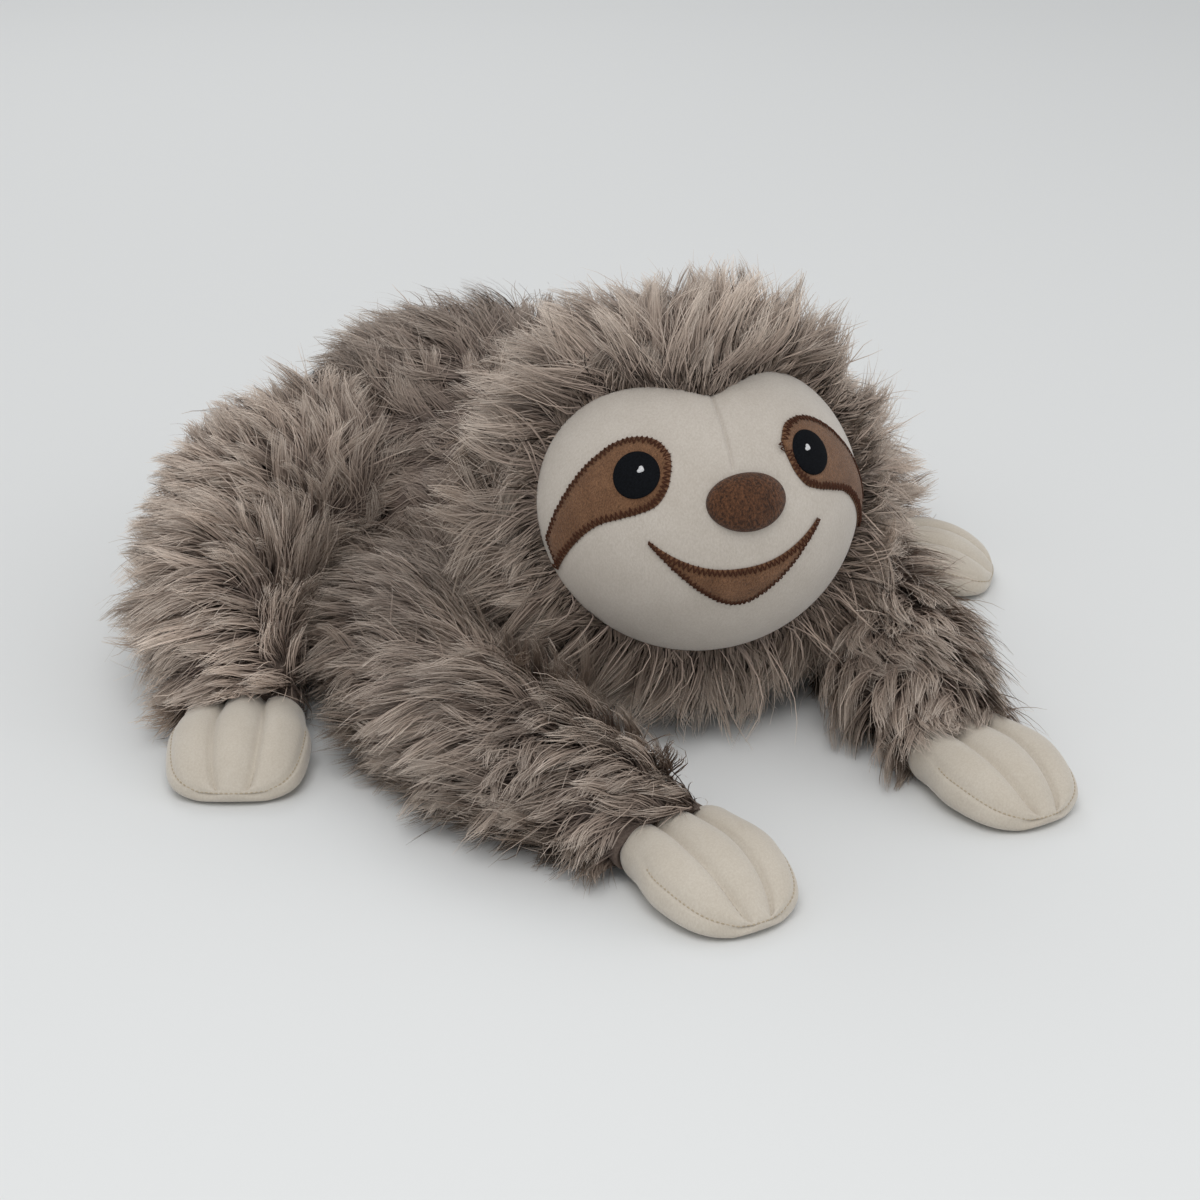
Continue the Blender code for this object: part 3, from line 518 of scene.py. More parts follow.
# How far locks and hairs stray from their neighbours: turns and lifts in radians, the rest in shares
SWAY_WAVES = (0.120, 0.065, 0.040)
SWAY_TURN, SWAY_LIFT = 0.34, 0.12
LOCK_BLUR_SHARE, TUFT_BLUR_SHARE = 0.16, 0.12
LOCK_TURN, LOCK_LIFT, LOCK_REACH_SHARE = 0.26, 0.13, 0.15
HAIR_TURN, HAIR_LIFT, HAIR_SWAY, HAIR_PHASE = 0.16, 0.09, 0.14, 0.25
STRAY_SHARE, STRAY_TURN, STRAY_RISE, STRAY_LIFT, STRAY_GATHER = 0.10, 0.45, 0.08, 0.20, 0.15
TUFT_PULL_SHARE, GATHER_SPREAD, HAIR_LENGTH_SHARE, HAIR_LENGTH_SPREAD = 0.40, 0.13, 0.92, 0.13
LOCK_TONE, HAIR_TONE = 0.10, 0.13
REACH_BOUNDS, SWAY_BOUNDS, PHASE_RANGE = (0.62, 1.30), (-0.85, 0.85), (-0.8, 2.8)
GATHER_BOUNDS, HAIR_LENGTH_BOUNDS, TONE_BOUNDS = (0.1, 0.97), (0.45, 1.10), (0.03, 0.97)

# A hair's ribbon: how it tapers and turns, how its width and tone change, and what its shading is mixed from
TAPER_SHARE, TAPER_POWER, FACING_SPREAD = 0.80, 1.6, 0.42
WIDTH_SPREAD, WIDTH_BOUNDS, TONE_HALF_WIDTH = 0.20, (0.55, 1.6), 0.004
SHADE_OWN, SHADE_FORM, SHADE_ACROSS = 0.42, 0.58, 0.38


class Fur:
    """What a pile is grown from: the body it rides, a seed, places and normals."""

    def __init__(self, body, seed, spacing=0.00098, part=""):
        self.body, self.seed, self.spacing, self.part = body, seed, spacing, part
        self.rng = np.random.default_rng(seed)

    def sow(self, points, faces):
        self.roots, self.normals = scatter(points, faces, self.spacing, self.rng)
        return self

    def keep(self, mask):
        self.roots, self.normals = self.roots[mask], self.normals[mask]


def sway_field(points, seed):
    """Slow changes over the cloth, for cowlicks and parted places: three values about 0."""
    rng = np.random.default_rng(seed)
    total = np.zeros((len(points), 3))
    for wave in SWAY_WAVES:
        for k in range(3):
            way_in = unit(rng.normal(size=3)) * 2 * np.pi / wave
            total[:, k] += np.sin(points @ way_in + rng.uniform(0, 6.28)) / 2
    return np.clip(total, -1.5, 1.5)


def strand_paths(roots, normals, comb, length, lift, bend, droop, sway, phase):
    """Points along each hair: it stands up from the cloth, leans over as brushed and hangs a little."""
    side = np.cross(normals, comb)
    path = [roots]
    for k in range(STRAND_STEPS):
        s = (k + 0.5) / STRAND_STEPS
        angle = (lift * (1 - bend * s))[:, None]
        heading = (normals * np.sin(angle) + comb * np.cos(angle)
                   + side * (sway * np.cos(phase + 3.6 * s))[:, None] + DOWN * (droop * s)[:, None])
        path.append(path[-1] + unit(heading) * (length / STRAND_STEPS)[:, None])
    return np.stack(path, 1)


def nearest(places, points):
    """For each point, which of the places is nearest."""
    tree = KDTree(len(places))
    for i, place in enumerate(places):
        tree.insert(place, i)
    tree.balance()
    return np.array([tree.find(point)[1] for point in points])


def turned(comb, normals, angle):
    across = np.cross(normals, comb)
    return unit(comb * np.cos(angle)[:, None] + across * np.sin(angle)[:, None])


def grow(fur, comb, length, lift, bend, droop, clump=0.82, curl=0.42, pale=0.0, shade=0.5, tousle=0.30,
         avoid=(), cull=()):
    """Grow the pile in fine pointed locks that gather in looser tufts."""
    rng, roots, normals = fur.rng, fur.roots, fur.normals
    n = len(roots)
    slow = sway_field(roots, fur.seed + 7)
    comb = turned(tangent_to(comb, normals), normals, slow[:, 0] * SWAY_TURN)
    lift = lift + slow[:, 1] * SWAY_LIFT
    bend, droop, pale, shade = (np.broadcast_to(value, n) for value in (bend, droop, pale, shade))

    area = n * fur.spacing ** 2
    locks = max(int(area / LOCK ** 2), 8)
    pick = rng.choice(n, locks, replace=False)
    owner = nearest(roots[pick], roots + rng.normal(0, LOCK * LOCK_BLUR_SHARE, (n, 3)))
    tufts = max(int(area / TUFT ** 2), 4)
    heads = rng.choice(locks, tufts, replace=False)
    tuft = nearest(roots[pick][heads], roots[pick] + rng.normal(0, TUFT * TUFT_BLUR_SHARE, (locks, 3)))

    tuft_turn, tuft_lift = rng.normal(0, tousle, tufts)[tuft], rng.normal(0, tousle / 2, tufts)[tuft]
    lock_turn = tuft_turn + rng.normal(0, LOCK_TURN, locks)
    lock_lift = tuft_lift + rng.normal(0, LOCK_LIFT, locks)
    reach = np.clip(rng.normal(1.0, LOCK_REACH_SHARE, locks), *REACH_BOUNDS)
    sway = np.clip(rng.normal(0, curl, locks), *SWAY_BOUNDS)
    phase = rng.uniform(*PHASE_RANGE, locks)
    guide = strand_paths(roots[pick], normals[pick], turned(comb[pick], normals[pick], lock_turn),
                         length[pick] * reach, lift[pick] + lock_lift, bend[pick], droop[pick], sway, phase)
    steps = np.arange(STRAND_STEPS + 1) / STRAND_STEPS
    tip = guide[heads][tuft] - guide
    guide = guide + tip * (TUFT_PULL_SHARE * steps ** 1.2)[None, :, None]

    stray = rng.random(n) < STRAY_SHARE
    spin = lock_turn[owner] + rng.normal(0, HAIR_TURN, n) + np.where(stray, rng.normal(0, STRAY_TURN, n), 0)
    rise = (lift + lock_lift[owner] + rng.normal(0, HAIR_LIFT, n)
            + np.where(stray, rng.normal(STRAY_RISE, STRAY_LIFT, n), 0))
    own = strand_paths(roots, normals, turned(comb, normals, spin), length * reach[owner], rise, bend, droop,
                       sway[owner] + rng.normal(0, HAIR_SWAY, n), phase[owner] + rng.normal(0, HAIR_PHASE, n))
    gather = np.where(stray, STRAY_GATHER, np.clip(rng.normal(clump, GATHER_SPREAD, n), *GATHER_BOUNDS))
    gather = gather[:, None] * steps[None, :] ** 0.9
    path = own + (guide[owner] - own) * gather[..., None]
    share = np.clip(rng.normal(HAIR_LENGTH_SHARE, HAIR_LENGTH_SPREAD, n), *HAIR_LENGTH_BOUNDS)
    path = path[:, :1] + (path - path[:, :1]) * share[:, None, None]

    for push in avoid:
        path = push(path)
    path[..., 2] = np.maximum(path[..., 2], FLOOR_HAIR + FLOOR_HAIR_SPREAD * rng.random((n, 1)) ** 2)
    alive = np.linalg.norm(path[:, -1] - path[:, 0], axis=-1) > SHORTEST
    for test in cull:
        alive &= ~test(path)
    # shade is the base tone, which each part sets lighter or darker as painted light and shade
    tone = shade + rng.normal(0, LOCK_TONE, tufts)[tuft][owner] + rng.normal(0, LOCK_TONE, locks)[owner]
    tone = np.clip(tone + rng.normal(0, HAIR_TONE, n), *TONE_BOUNDS)
    order = np.argsort(roots[:, 0] * 0.9 + roots[:, 1] * 0.4)
    order = order[alive[order]]
    parts = max(1, math.ceil(len(order) / STRANDS_A_PIECE))
    for number, chosen in enumerate(np.array_split(order, parts)):
        name = fur.body + fur.part + "_pile" + ("_" + str(number + 1) if parts > 1 else "")
        made = ribbons(name, path[chosen], normals[chosen], tone[chosen], pale[chosen], rng)
        put_on(made, fur.body)


def ribbons(name, path, normals, tone, pale, rng):
    """One thin tapered ribbon along each path, shaded as part of the round form under it."""
    n, points = path.shape[:2]
    along = unit(np.gradient(path, axis=1))
    facing = unit(normals + rng.normal(0, FACING_SPREAD, (n, 3)))[:, None, :]
    across = unit(np.cross(along, facing))
    steps = np.arange(points) / (points - 1)
    taper = STRAND_WIDTH / 2 * (1 - TAPER_SHARE * steps ** TAPER_POWER)
    half = taper * np.clip(rng.normal(1, WIDTH_SPREAD, n), *WIDTH_BOUNDS)[:, None]
    left, right = path - across * half[..., None], path + across * half[..., None]
    flat = np.cross(across, along)
    flat = flat * np.sign((flat * normals[:, None, :]).sum(-1, keepdims=True) + 1e-9)
    shade = [unit(flat * SHADE_OWN + normals[:, None, :] * SHADE_FORM + across * s * SHADE_ACROSS)
             for s in (-1, 1)]

    per = points * 2
    verts = np.stack((left, right), 2).reshape(n, per, 3)
    shading = np.stack(shade, 2).reshape(n, per, 3)
    quads = np.array([(2 * k, 2 * k + 1, 2 * k + 3, 2 * k + 2) for k in range(points - 1)])
    loops = (quads[None] + (np.arange(n) * per)[:, None, None]).reshape(-1)
    u = np.stack((tone - TONE_HALF_WIDTH, tone + TONE_HALF_WIDTH), -1)
    # Where pale is above 0, at the rim by the face, the colour starts past the dark root, as painted light
    v = pale[:, None] + (1 - pale[:, None]) * steps[None, :]
    uv = np.stack(np.broadcast_arrays(u[:, None, :], v[..., None]), -1).reshape(n * per, 2)

    mesh = bpy.data.meshes.new(name)
    mesh.vertices.add(n * per)
    mesh.vertices.foreach_set("co", verts.astype(np.float32).ravel())
    mesh.loops.add(len(loops))
    mesh.loops.foreach_set("vertex_index", loops.astype(np.int32))
    mesh.polygons.add(len(loops) // 4)
    mesh.polygons.foreach_set("loop_start", np.arange(0, len(loops), 4, dtype=np.int32))
    mesh.update(calc_edges=True)
    mesh.shade_smooth()
    layer = mesh.uv_layers.new(name="OFBake")
    layer.data.foreach_set("uv", uv[loops].astype(np.float32).ravel())
    mesh.normals_split_custom_set_from_vertices(shading.reshape(-1, 3).astype(np.float32))
    mesh.materials.append(PILE)
    return add_object(name, mesh)


# Places that the pile keeps out of

FACE_GUARD = 0.0006
FACE_FRONT = 0.012
FACE_REACH = 0.085
CROSSING = 0.050
LYING = 0.018
CROWN_START = 0.1720
CROWN_ROOM = 0.0158
HEAD_NEARNESS = 0.018

PAW_HAIR_REACH = 0.0085
PAW_HAIR_LEAST_SHARE = 0.34
PAW_HAIR_LOOSE = (0.0008, 0.0034)
PAW_SIDE_ROOM = 0.001
PAW_BACK = (-0.030, 0.004)
PAW_SKIN = 0.0008
PAW_BELOW = -0.002
PAW_HEEL = -0.0015
PAW_SLOPE_SHARE = 0.75


def off_face(path):
    """Push hairs out of the padded face, apart from their roots."""
    local = to_head(path)
    depth = np.sqrt(reach_in(local, FACE_HALF + FACE_GUARD))
    scale = np.where((depth < 1) & (local[..., 1] < FACE_FRONT), 1 / np.maximum(depth, 1e-3), 1)
    scale[:, 0] = 1
    return from_head(local * scale[..., None])


def in_face(path):
    """Hairs that would grow into the padded face."""
    return (reach_in(to_head(path), FACE_HALF + FACE_GUARD) < 1).any(-1)


def over_face(path):
    """Hairs that would cross the face, apart from the soft tips over its edge, or lie along it."""
    _, size, away, turn = about_face(path)
    short = face_edge(turn) - away
    return ((short > CROSSING) & (size < FACE_REACH)).any(-1) | ((short > LYING).sum(-1) > 2)


def under_crown(path):
    """Keep the hairs on top of the head within their own height."""
    over = np.clip(path[..., 2] - CROWN_START, 0, None)
    most = over.max(-1)
    path[..., 2] -= over * np.clip((most - CROWN_ROOM) / np.maximum(most, 1e-6), 0, 1)[:, None]
    return path


def near_head(roots):
    """0 at the form that the head turns in, 1 from a little way off it."""
    middle, half = HEAD_SEAT
    return smooth((np.sqrt(reach_in(roots, half, middle)) - 1) * HEAD_DROP / HEAD_NEARNESS)


def own_share(values, scale):
    """A share for each hair, from 0 to 1, that hangs on the place of its root alone."""
    return (np.abs(values) * scale) % 1.0


def pillow_of(x):
    """How full a paw is across its width, where x goes from -1 to 1."""
    return np.sqrt(np.maximum(1 - np.abs(x) ** 3, 0))


def off_paw(limb):
    """Lay the hairs over a paw's back, and shorten those that would reach far along it."""
    def push(path):
        local = limb.to_paw(path)
        root, tip = local[:, 0, 1], local[:, -1, 1]
        own_reach = PAW_HAIR_REACH * (0.5 + own_share(local[:, 0, 0], 9173.0))
        beside = np.abs(local[:, -1, 0]) < PAW_WIDTH / 2 + PAW_SIDE_ROOM
        beyond = beside & (local[:, -1, 2] < PAW_BASE_HEIGHT) & (tip < -own_reach) & (root > -own_reach)
        keep = np.where(beyond, (root + own_reach) / np.maximum(root - tip, 1e-6), 1)
        keep = np.clip(keep, PAW_HAIR_LEAST_SHARE, 1)[:, None, None]
        local = local[:, :1] + (local - local[:, :1]) * keep
        x, y, z = np.abs(local[..., 0]) / (PAW_BASE_WIDTH / 2 + PAW_SIDE_ROOM), local[..., 1], local[..., 2]
        steps = np.arange(path.shape[1]) / path.shape[1]
        least, spread = PAW_HAIR_LOOSE
        top = (PAW_BASE_HEIGHT / 2 * pillow_of(x)
               + least + spread * own_share(local[:, 0, 2], 7919.0)[:, None] * steps)
        over = (x < 1) & (y > PAW_BACK[0]) & (y < PAW_BACK[1]) & (z < top) & (z > PAW_BELOW)
        over[:, 0] = False
        local[..., 2] = np.where(over, top, z)
        return limb.from_paw(local)
    return push


def under_paw(limb):
    """Hairs that grow or cross inside a paw."""
    def test(path):
        local = limb.to_paw(path)
        x, y, z = np.abs(local[..., 0]) / (PAW_WIDTH / 2 - PAW_SKIN), local[..., 1], local[..., 2]
        slope = 1 - PAW_SLOPE_SHARE * np.clip(-y / limb.paw_length, 0, 1)
        within = np.abs(z - PAW_BELOW / 2) < PAW_BASE_HEIGHT / 2 * pillow_of(x) * slope
        return ((x < 1) & (y < PAW_HEEL) & (y > -limb.paw_length) & within)[:, 1:].any(-1)
    return test


# The torso

limbs = [Limb(spec) for spec in LIMBS]

TORSO_BRUSHING = (0.85, 0.75, -0.45)
TORSO_PILE = 0.0335
TORSO_LIFT_DEG = 54
LOW_LIFT_DEG = 16
NAPE_LIFT_DEG = 38
NAPE_SINK = 0.018
TORSO_BEND, TORSO_DROOP, TORSO_LOW_DROOP = 0.75, 0.16, 0.14
# The torso's pile tone is set darker than the other parts' as painted shade, and darker still as painted
# shade in the recess by the head and limbs, towards the front and low down
TORSO_PAINTED_SHADE, RECESS_PAINTED_SHADE = 0.15, 0.08
FLOOR_LOSS, RUMP_LOSS, NAPE_LOSS = 0.40, 0.14, 0.42
TORSO_LEAST_BY_HEAD, TORSO_MORE_BY_HEAD = 0.60, 0.40

# Where the torso and its pile change: the place and the length over which they do
SINK_TO_NAPE, SINK_BY_HEIGHT = (TOY[1] + 0.045, -0.085), (0.35, 0.5)
TO_NAPE, TO_RUMP, TO_LOW, TO_FLOOR = (0.046, -0.065), (0.06, 0.03), (0.06, -0.05), (0.035, -0.03)
RECESS_AHEAD, RECESS_BELOW = (-0.02, -0.06), (0.085, -0.05)
SEAT_ROOM = 0.0012
HIDDEN_HEIGHT = 0.006


def skin(name, body, rings, replaces, warp=None):
    points, faces = closed_rings(rings)
    if warp:
        points = warp(points)
    put_on(make_object(name, points, faces, BACKING), body, replaces)
    return points, faces


def make_torso():
    columns, rows = 72, 56
    polar = np.pi * np.arange(rows + 1) / rows
    share = (np.sin(polar) ** TORSO_BLUNTNESS * (1 - TORSO_FRONT_TAPER * np.cos(polar)))[:, None]
    turn = 2 * np.pi * (np.arange(columns) + 0.5) / columns
    tall = np.where(np.sin(turn) > 0, TORSO_TOP - TORSO_MIDDLE_HEIGHT - PILE_DEPTH,
                    TORSO_MIDDLE_HEIGHT + TORSO_SAG - PILE_DEPTH)
    x = (TORSO_HALF[0] - PILE_DEPTH) * share * np.cos(turn)
    y = -(TORSO_HALF[1] - PILE_DEPTH) * np.cos(polar)[:, None] + 0 * x
    z = np.maximum(TORSO_MIDDLE_HEIGHT + tall * share * np.sin(turn), FLOOR_GAP)

    def warp(points):
        """Sink the back towards the nape, then make room for the limbs and the head."""
        high = points[:, 2] / TORSO_TOP
        to_nape = rising(points[:, 1], *SINK_TO_NAPE)
        points[:, 2] -= NAPE_SINK * to_nape * rising(high, *SINK_BY_HEIGHT)
        core = TOY + UP * TORSO_MIDDLE_HEIGHT
        for limb in limbs:
            heading = core - points
            heading[:, 1] = 0
            points = give_way(points, seat_of(limb), unit(heading))
        return give_way(points, HEAD_SEAT, np.tile(-FACE_WAY, (len(points), 1)))

    points, faces = skin("torso_backing", "torso", np.stack((x, y, z), -1) + TOY,
                         ("back_panel", "belly_panel", "body_filling"), warp)
    fur = Fur("torso", 11).sow(points, faces)
    hidden = fur.roots[:, 2] < HIDDEN_HEIGHT
    for seat in [seat_of(limb) for limb in limbs] + [HEAD_SEAT]:
        hidden |= inside(fur.roots, seat, SEAT_ROOM)
    fur.keep(~hidden)
    x, y, z = (fur.roots - TOY).T
    across, back, down = TORSO_BRUSHING
    flow = np.column_stack((x / TORSO_HALF[0] * across, np.full(len(x), back), np.full(len(x), down)))
    low, to_nape = rising(z, *TO_LOW), rising(y, *TO_NAPE)
    # Painted shade: the pile darkens towards the front and low down, in the recess under the head and between
    # the limbs
    recess = rising(y, *RECESS_AHEAD) + rising(z, *RECESS_BELOW)
    length = TORSO_PILE * (1 - FLOOR_LOSS * rising(z, *TO_FLOOR)) * (1 - RUMP_LOSS * rising(y, *TO_RUMP))
    by_head = TORSO_LEAST_BY_HEAD + TORSO_MORE_BY_HEAD * near_head(fur.roots)
    length = length * (1 - NAPE_LOSS * to_nape) * by_head
    lift = np.radians(TORSO_LIFT_DEG) - np.radians(LOW_LIFT_DEG) * low - np.radians(NAPE_LIFT_DEG) * to_nape
    grow(fur, flow, length, lift, TORSO_BEND, TORSO_DROOP + TORSO_LOW_DROOP * low,
         shade=TORSO_PAINTED_SHADE - RECESS_PAINTED_SHADE * recess,
         avoid=[off_face] + [off_paw(limb) for limb in limbs], cull=[under_paw(limb) for limb in limbs])


# Arms and legs

HEADING_BLEND = 0.018
CUFF_FROM, CUFF_OVER = 0.78, 0.22
TORSO_COVER = 0.020
TORSO_COVER_HEIGHT = 0.045
LIMB_HIDDEN_HEIGHT = 0.0045
LIMB_HEAD_ROOM = 0.0006
CUFF_TILT, CUFF_LOSS, BY_HEAD_LIFT_DEG = 0.40, 0.34, 24
LIMB_FLOOR_LOSS, LIMB_TO_FLOOR = 0.30, (0.020, -0.02)
LIMB_LEAST_BY_HEAD, LIMB_MORE_BY_HEAD = 0.72, 0.28
# Painted shade at a limb's root by the body: where the limb's own root shade starts and runs, where the
# deepest part starts and runs, and that part's depth
TO_ROOT, TO_ROOT_END, ROOT_END_PAINTED_SHADE = (0.50, -0.30), (0.30, -0.30), 0.12

# The mouth of the sleeve, where no hair grows: how far behind the cuff, past the heel's side, and up or down
SLEEVE_MOUTH = ((0.0125, -0.003, 0.0085), (0.0070, 0.0015, 0.0096))


def in_mouth(limb, roots):
    x, y, z = limb.to_paw(roots).T
    deep, side, high = np.array(SLEEVE_MOUTH)[:, :, None].transpose(1, 0, 2)
    return ((y < deep) & (np.abs(x) < PAW_BASE_WIDTH / 2 + side) & (np.abs(z) < high)).any(0)


def make_limb(limb):
    def warp(points):
        """Make room for the head over an arm."""
        if limb.kind == "arm":
            points = give_way(points, HEAD_SEAT, np.tile(DOWN, (len(points), 1)))
        points[:, 2] = np.maximum(points[:, 2], FLOOR_GAP)
        return points

    nodes = tuple(limb.kind + part + limb.label for part in ("_sleeve", "_filling"))
    points, faces = skin(limb.body + "_backing", limb.body, limb.rings(PILE_DEPTH), nodes, warp)
    fur = Fur(limb.body, limb.seed + (limb.side > 0)).sow(points, faces)
    torso_half = np.array((TORSO_HALF[0] - TORSO_COVER, TORSO_HALF[1] - TORSO_COVER, TORSO_COVER_HEIGHT))
    hidden = reach_in(fur.roots, torso_half, TOY + UP * TORSO_MIDDLE_HEIGHT) < 1
    fur.keep(~(hidden | in_mouth(limb, fur.roots) | (fur.roots[:, 2] < LIMB_HIDDEN_HEIGHT)
               | inside(fur.roots, HEAD_SEAT, LIMB_HEAD_ROOM)))

    samples = np.linspace(0, 1, 60)
    line = limb.centre(samples) + limb.axis[:2]
    far = ((fur.roots[:, None, :2] - line[None]) ** 2).sum(-1)
    weight = np.exp(-(far - far.min(1, keepdims=True)) / HEADING_BLEND ** 2)
    weight /= weight.sum(1, keepdims=True)
    t = weight @ samples
    ahead = unit(weight @ np.column_stack((limb.heading(samples), np.zeros(len(samples)))))
    outward = unit(np.cross(ahead, UP) * -limb.side)
    cuff = rising(t, CUFF_FROM, CUFF_OVER)
    tilt = np.clip((fur.normals * ahead).sum(-1), 0, None) * CUFF_TILT * cuff
    fur.normals = unit(fur.normals - ahead * tilt[:, None])

    change = rising(t, limb.turn_from, limb.turn_over)[:, None]
    flow = sum(heading * (root + more * change)
               for heading, (root, more) in ((outward, limb.outward), (DOWN, limb.down), (ahead, limb.ahead)))
    beside = near_head(fur.roots)
    lift, more = np.radians(limb.lift)
    lift = lift + more * cuff - np.radians(BY_HEAD_LIFT_DEG) * (1 - beside)
    length = limb.pile * np.interp(t, limb.pile_places, limb.pile_shares) * (1 - CUFF_LOSS * cuff)
    by_head = LIMB_LEAST_BY_HEAD + LIMB_MORE_BY_HEAD * beside
    length = length * (1 - LIMB_FLOOR_LOSS * rising(fur.roots[:, 2], *LIMB_TO_FLOOR)) * by_head
    # Painted shade: the pile darkens towards the limb's root, in the valley between the limb and the body.
    # limb.shade[0] is the limb's tone, set as painted light and shade
    shade = limb.shade[0] - limb.shade[1] * rising(t, *TO_ROOT) - ROOT_END_PAINTED_SHADE * rising(t, *TO_ROOT_END)
    grow(fur, flow, length, lift, limb.bend, limb.droop, shade=shade,
         avoid=[off_paw(other) for other in limbs], cull=[in_face] + [under_paw(other) for other in limbs])


# The head

HOOD_SIDE, HOOD_FRONT, HOOD_ABOVE, HOOD_BELOW = 0.0025, 0.0040, 0.0075, 0.0020
HOOD_BEHIND = 0.0620
HOOD_EASE_DEG = 22
HOOD_UNDER_EDGE = 0.002
HOOD_LOW = -0.0009
HOOD_TUCK = -0.0050
HOOD_HEART = -0.010

RIM_COUNT = 11000
RIM_SPACING = 0.00055
RIM_DEPTH = -0.0010
RIM_PAST, RIM_PAST_ABOVE, RIM_REACH_BACK, RIM_THINNING = -0.005, 0.010, 0.080, 1.5
RIM_LIFT_DEG, RIM_LENGTH_SHARES = (40, 102), (0.30, 0.95)
# Painted light at the rim: how far along its colour a root starts near the face's edge, lifting the shade in
# the crevice there, how fast that fades back, and the most
RIM_ROOT_PAINTED_LIGHT, RIM_ROOT_PAINTED_LIGHT_LOSS, RIM_MOST_ROOT_PAINTED_LIGHT = 0.36, 4.0, 0.40

HEAD_PILE = 0.0350
HEAD_PILE_LOSS = 0.0140
CROWN_HEIGHT, CROWN_OVER, CROWN_LOSS_SHARE = 0.135, 0.030, 0.16
BACK_WAY = np.array((0.0, 1.0, -0.30))
RADIAL_BACK, HEAD_DOWN, HEAD_MORE_DOWN, HEAD_DOWN_OVER_DEG = 0.45, 0.22, 0.42, 45
TO_BACK_DEG, EDGE_OVER_DEG = (30, 60), 16
HEAD_LIFT_DEG, TOP_LIFT_DEG, BACK_LIFT_DEG, EDGE_LIFT_DEG = 44, 18, 6, 26
HEAD_BEND, BACK_BEND, TOP_BEND, HEAD_DROOP, TOP_DROOP = 0.58, 0.22, 0.12, 0.26, 0.14


def hood_form(direction):
    """The hood's backing: close round the face, fuller above and behind, and within the form it turns in."""
    x = np.full(direction.shape[:-1], FACE_HALF[0] + HOOD_SIDE)
    y = np.where(direction[..., 1] > 0, HOOD_BEHIND, FACE_HALF[1] + HOOD_FRONT)
    z = np.where(direction[..., 2] > 0, FACE_HALF[2] + HOOD_ABOVE, FACE_HALF[2] + HOOD_BELOW)
    form = to_skin(direction, np.stack((x, y, z), -1))
    limit = np.linalg.norm(on_turning_form(direction, -PILE_DEPTH), axis=-1, keepdims=True)
    return form * np.minimum(1, limit / np.linalg.norm(form, axis=-1, keepdims=True))


def head_brushing(fur):
    """The way the head's hairs are brushed: away from the face, then back over the head."""
    local, _, away, turn = about_face(fur.roots)
    past = np.degrees(away - face_edge(turn))
    outward = unit(local * np.array((1, 0, 1)) + 1e-6)
    radial = from_head(outward) - FACE_CENTRE
    to_back = rising(past, *TO_BACK_DEG)
    weight = to_back[:, None]
    flow = (radial + np.array((0, RADIAL_BACK, 0))) * (1 - weight) + BACK_WAY * weight
    down = HEAD_DOWN + HEAD_MORE_DOWN * smooth(past / HEAD_DOWN_OVER_DEG)
    flow[:, 2] -= down * (1 - np.clip(outward[:, 2], 0, 1))
    top = np.clip(fur.normals[:, 2], 0, 1)
    crown = rising(fur.roots[:, 2], CROWN_HEIGHT, CROWN_OVER)
    length = (HEAD_PILE - HEAD_PILE_LOSS * to_back) * (1 - CROWN_LOSS_SHARE * crown)
    lift = np.radians(HEAD_LIFT_DEG) + np.radians(TOP_LIFT_DEG) * top - np.radians(BACK_LIFT_DEG) * to_back
    lift = lift + np.radians(EDGE_LIFT_DEG) * (1 - smooth(past / EDGE_OVER_DEG))
    bend = HEAD_BEND + BACK_BEND * to_back - TOP_BEND * top
    return flow, length, lift, bend, HEAD_DROOP - TOP_DROOP * top


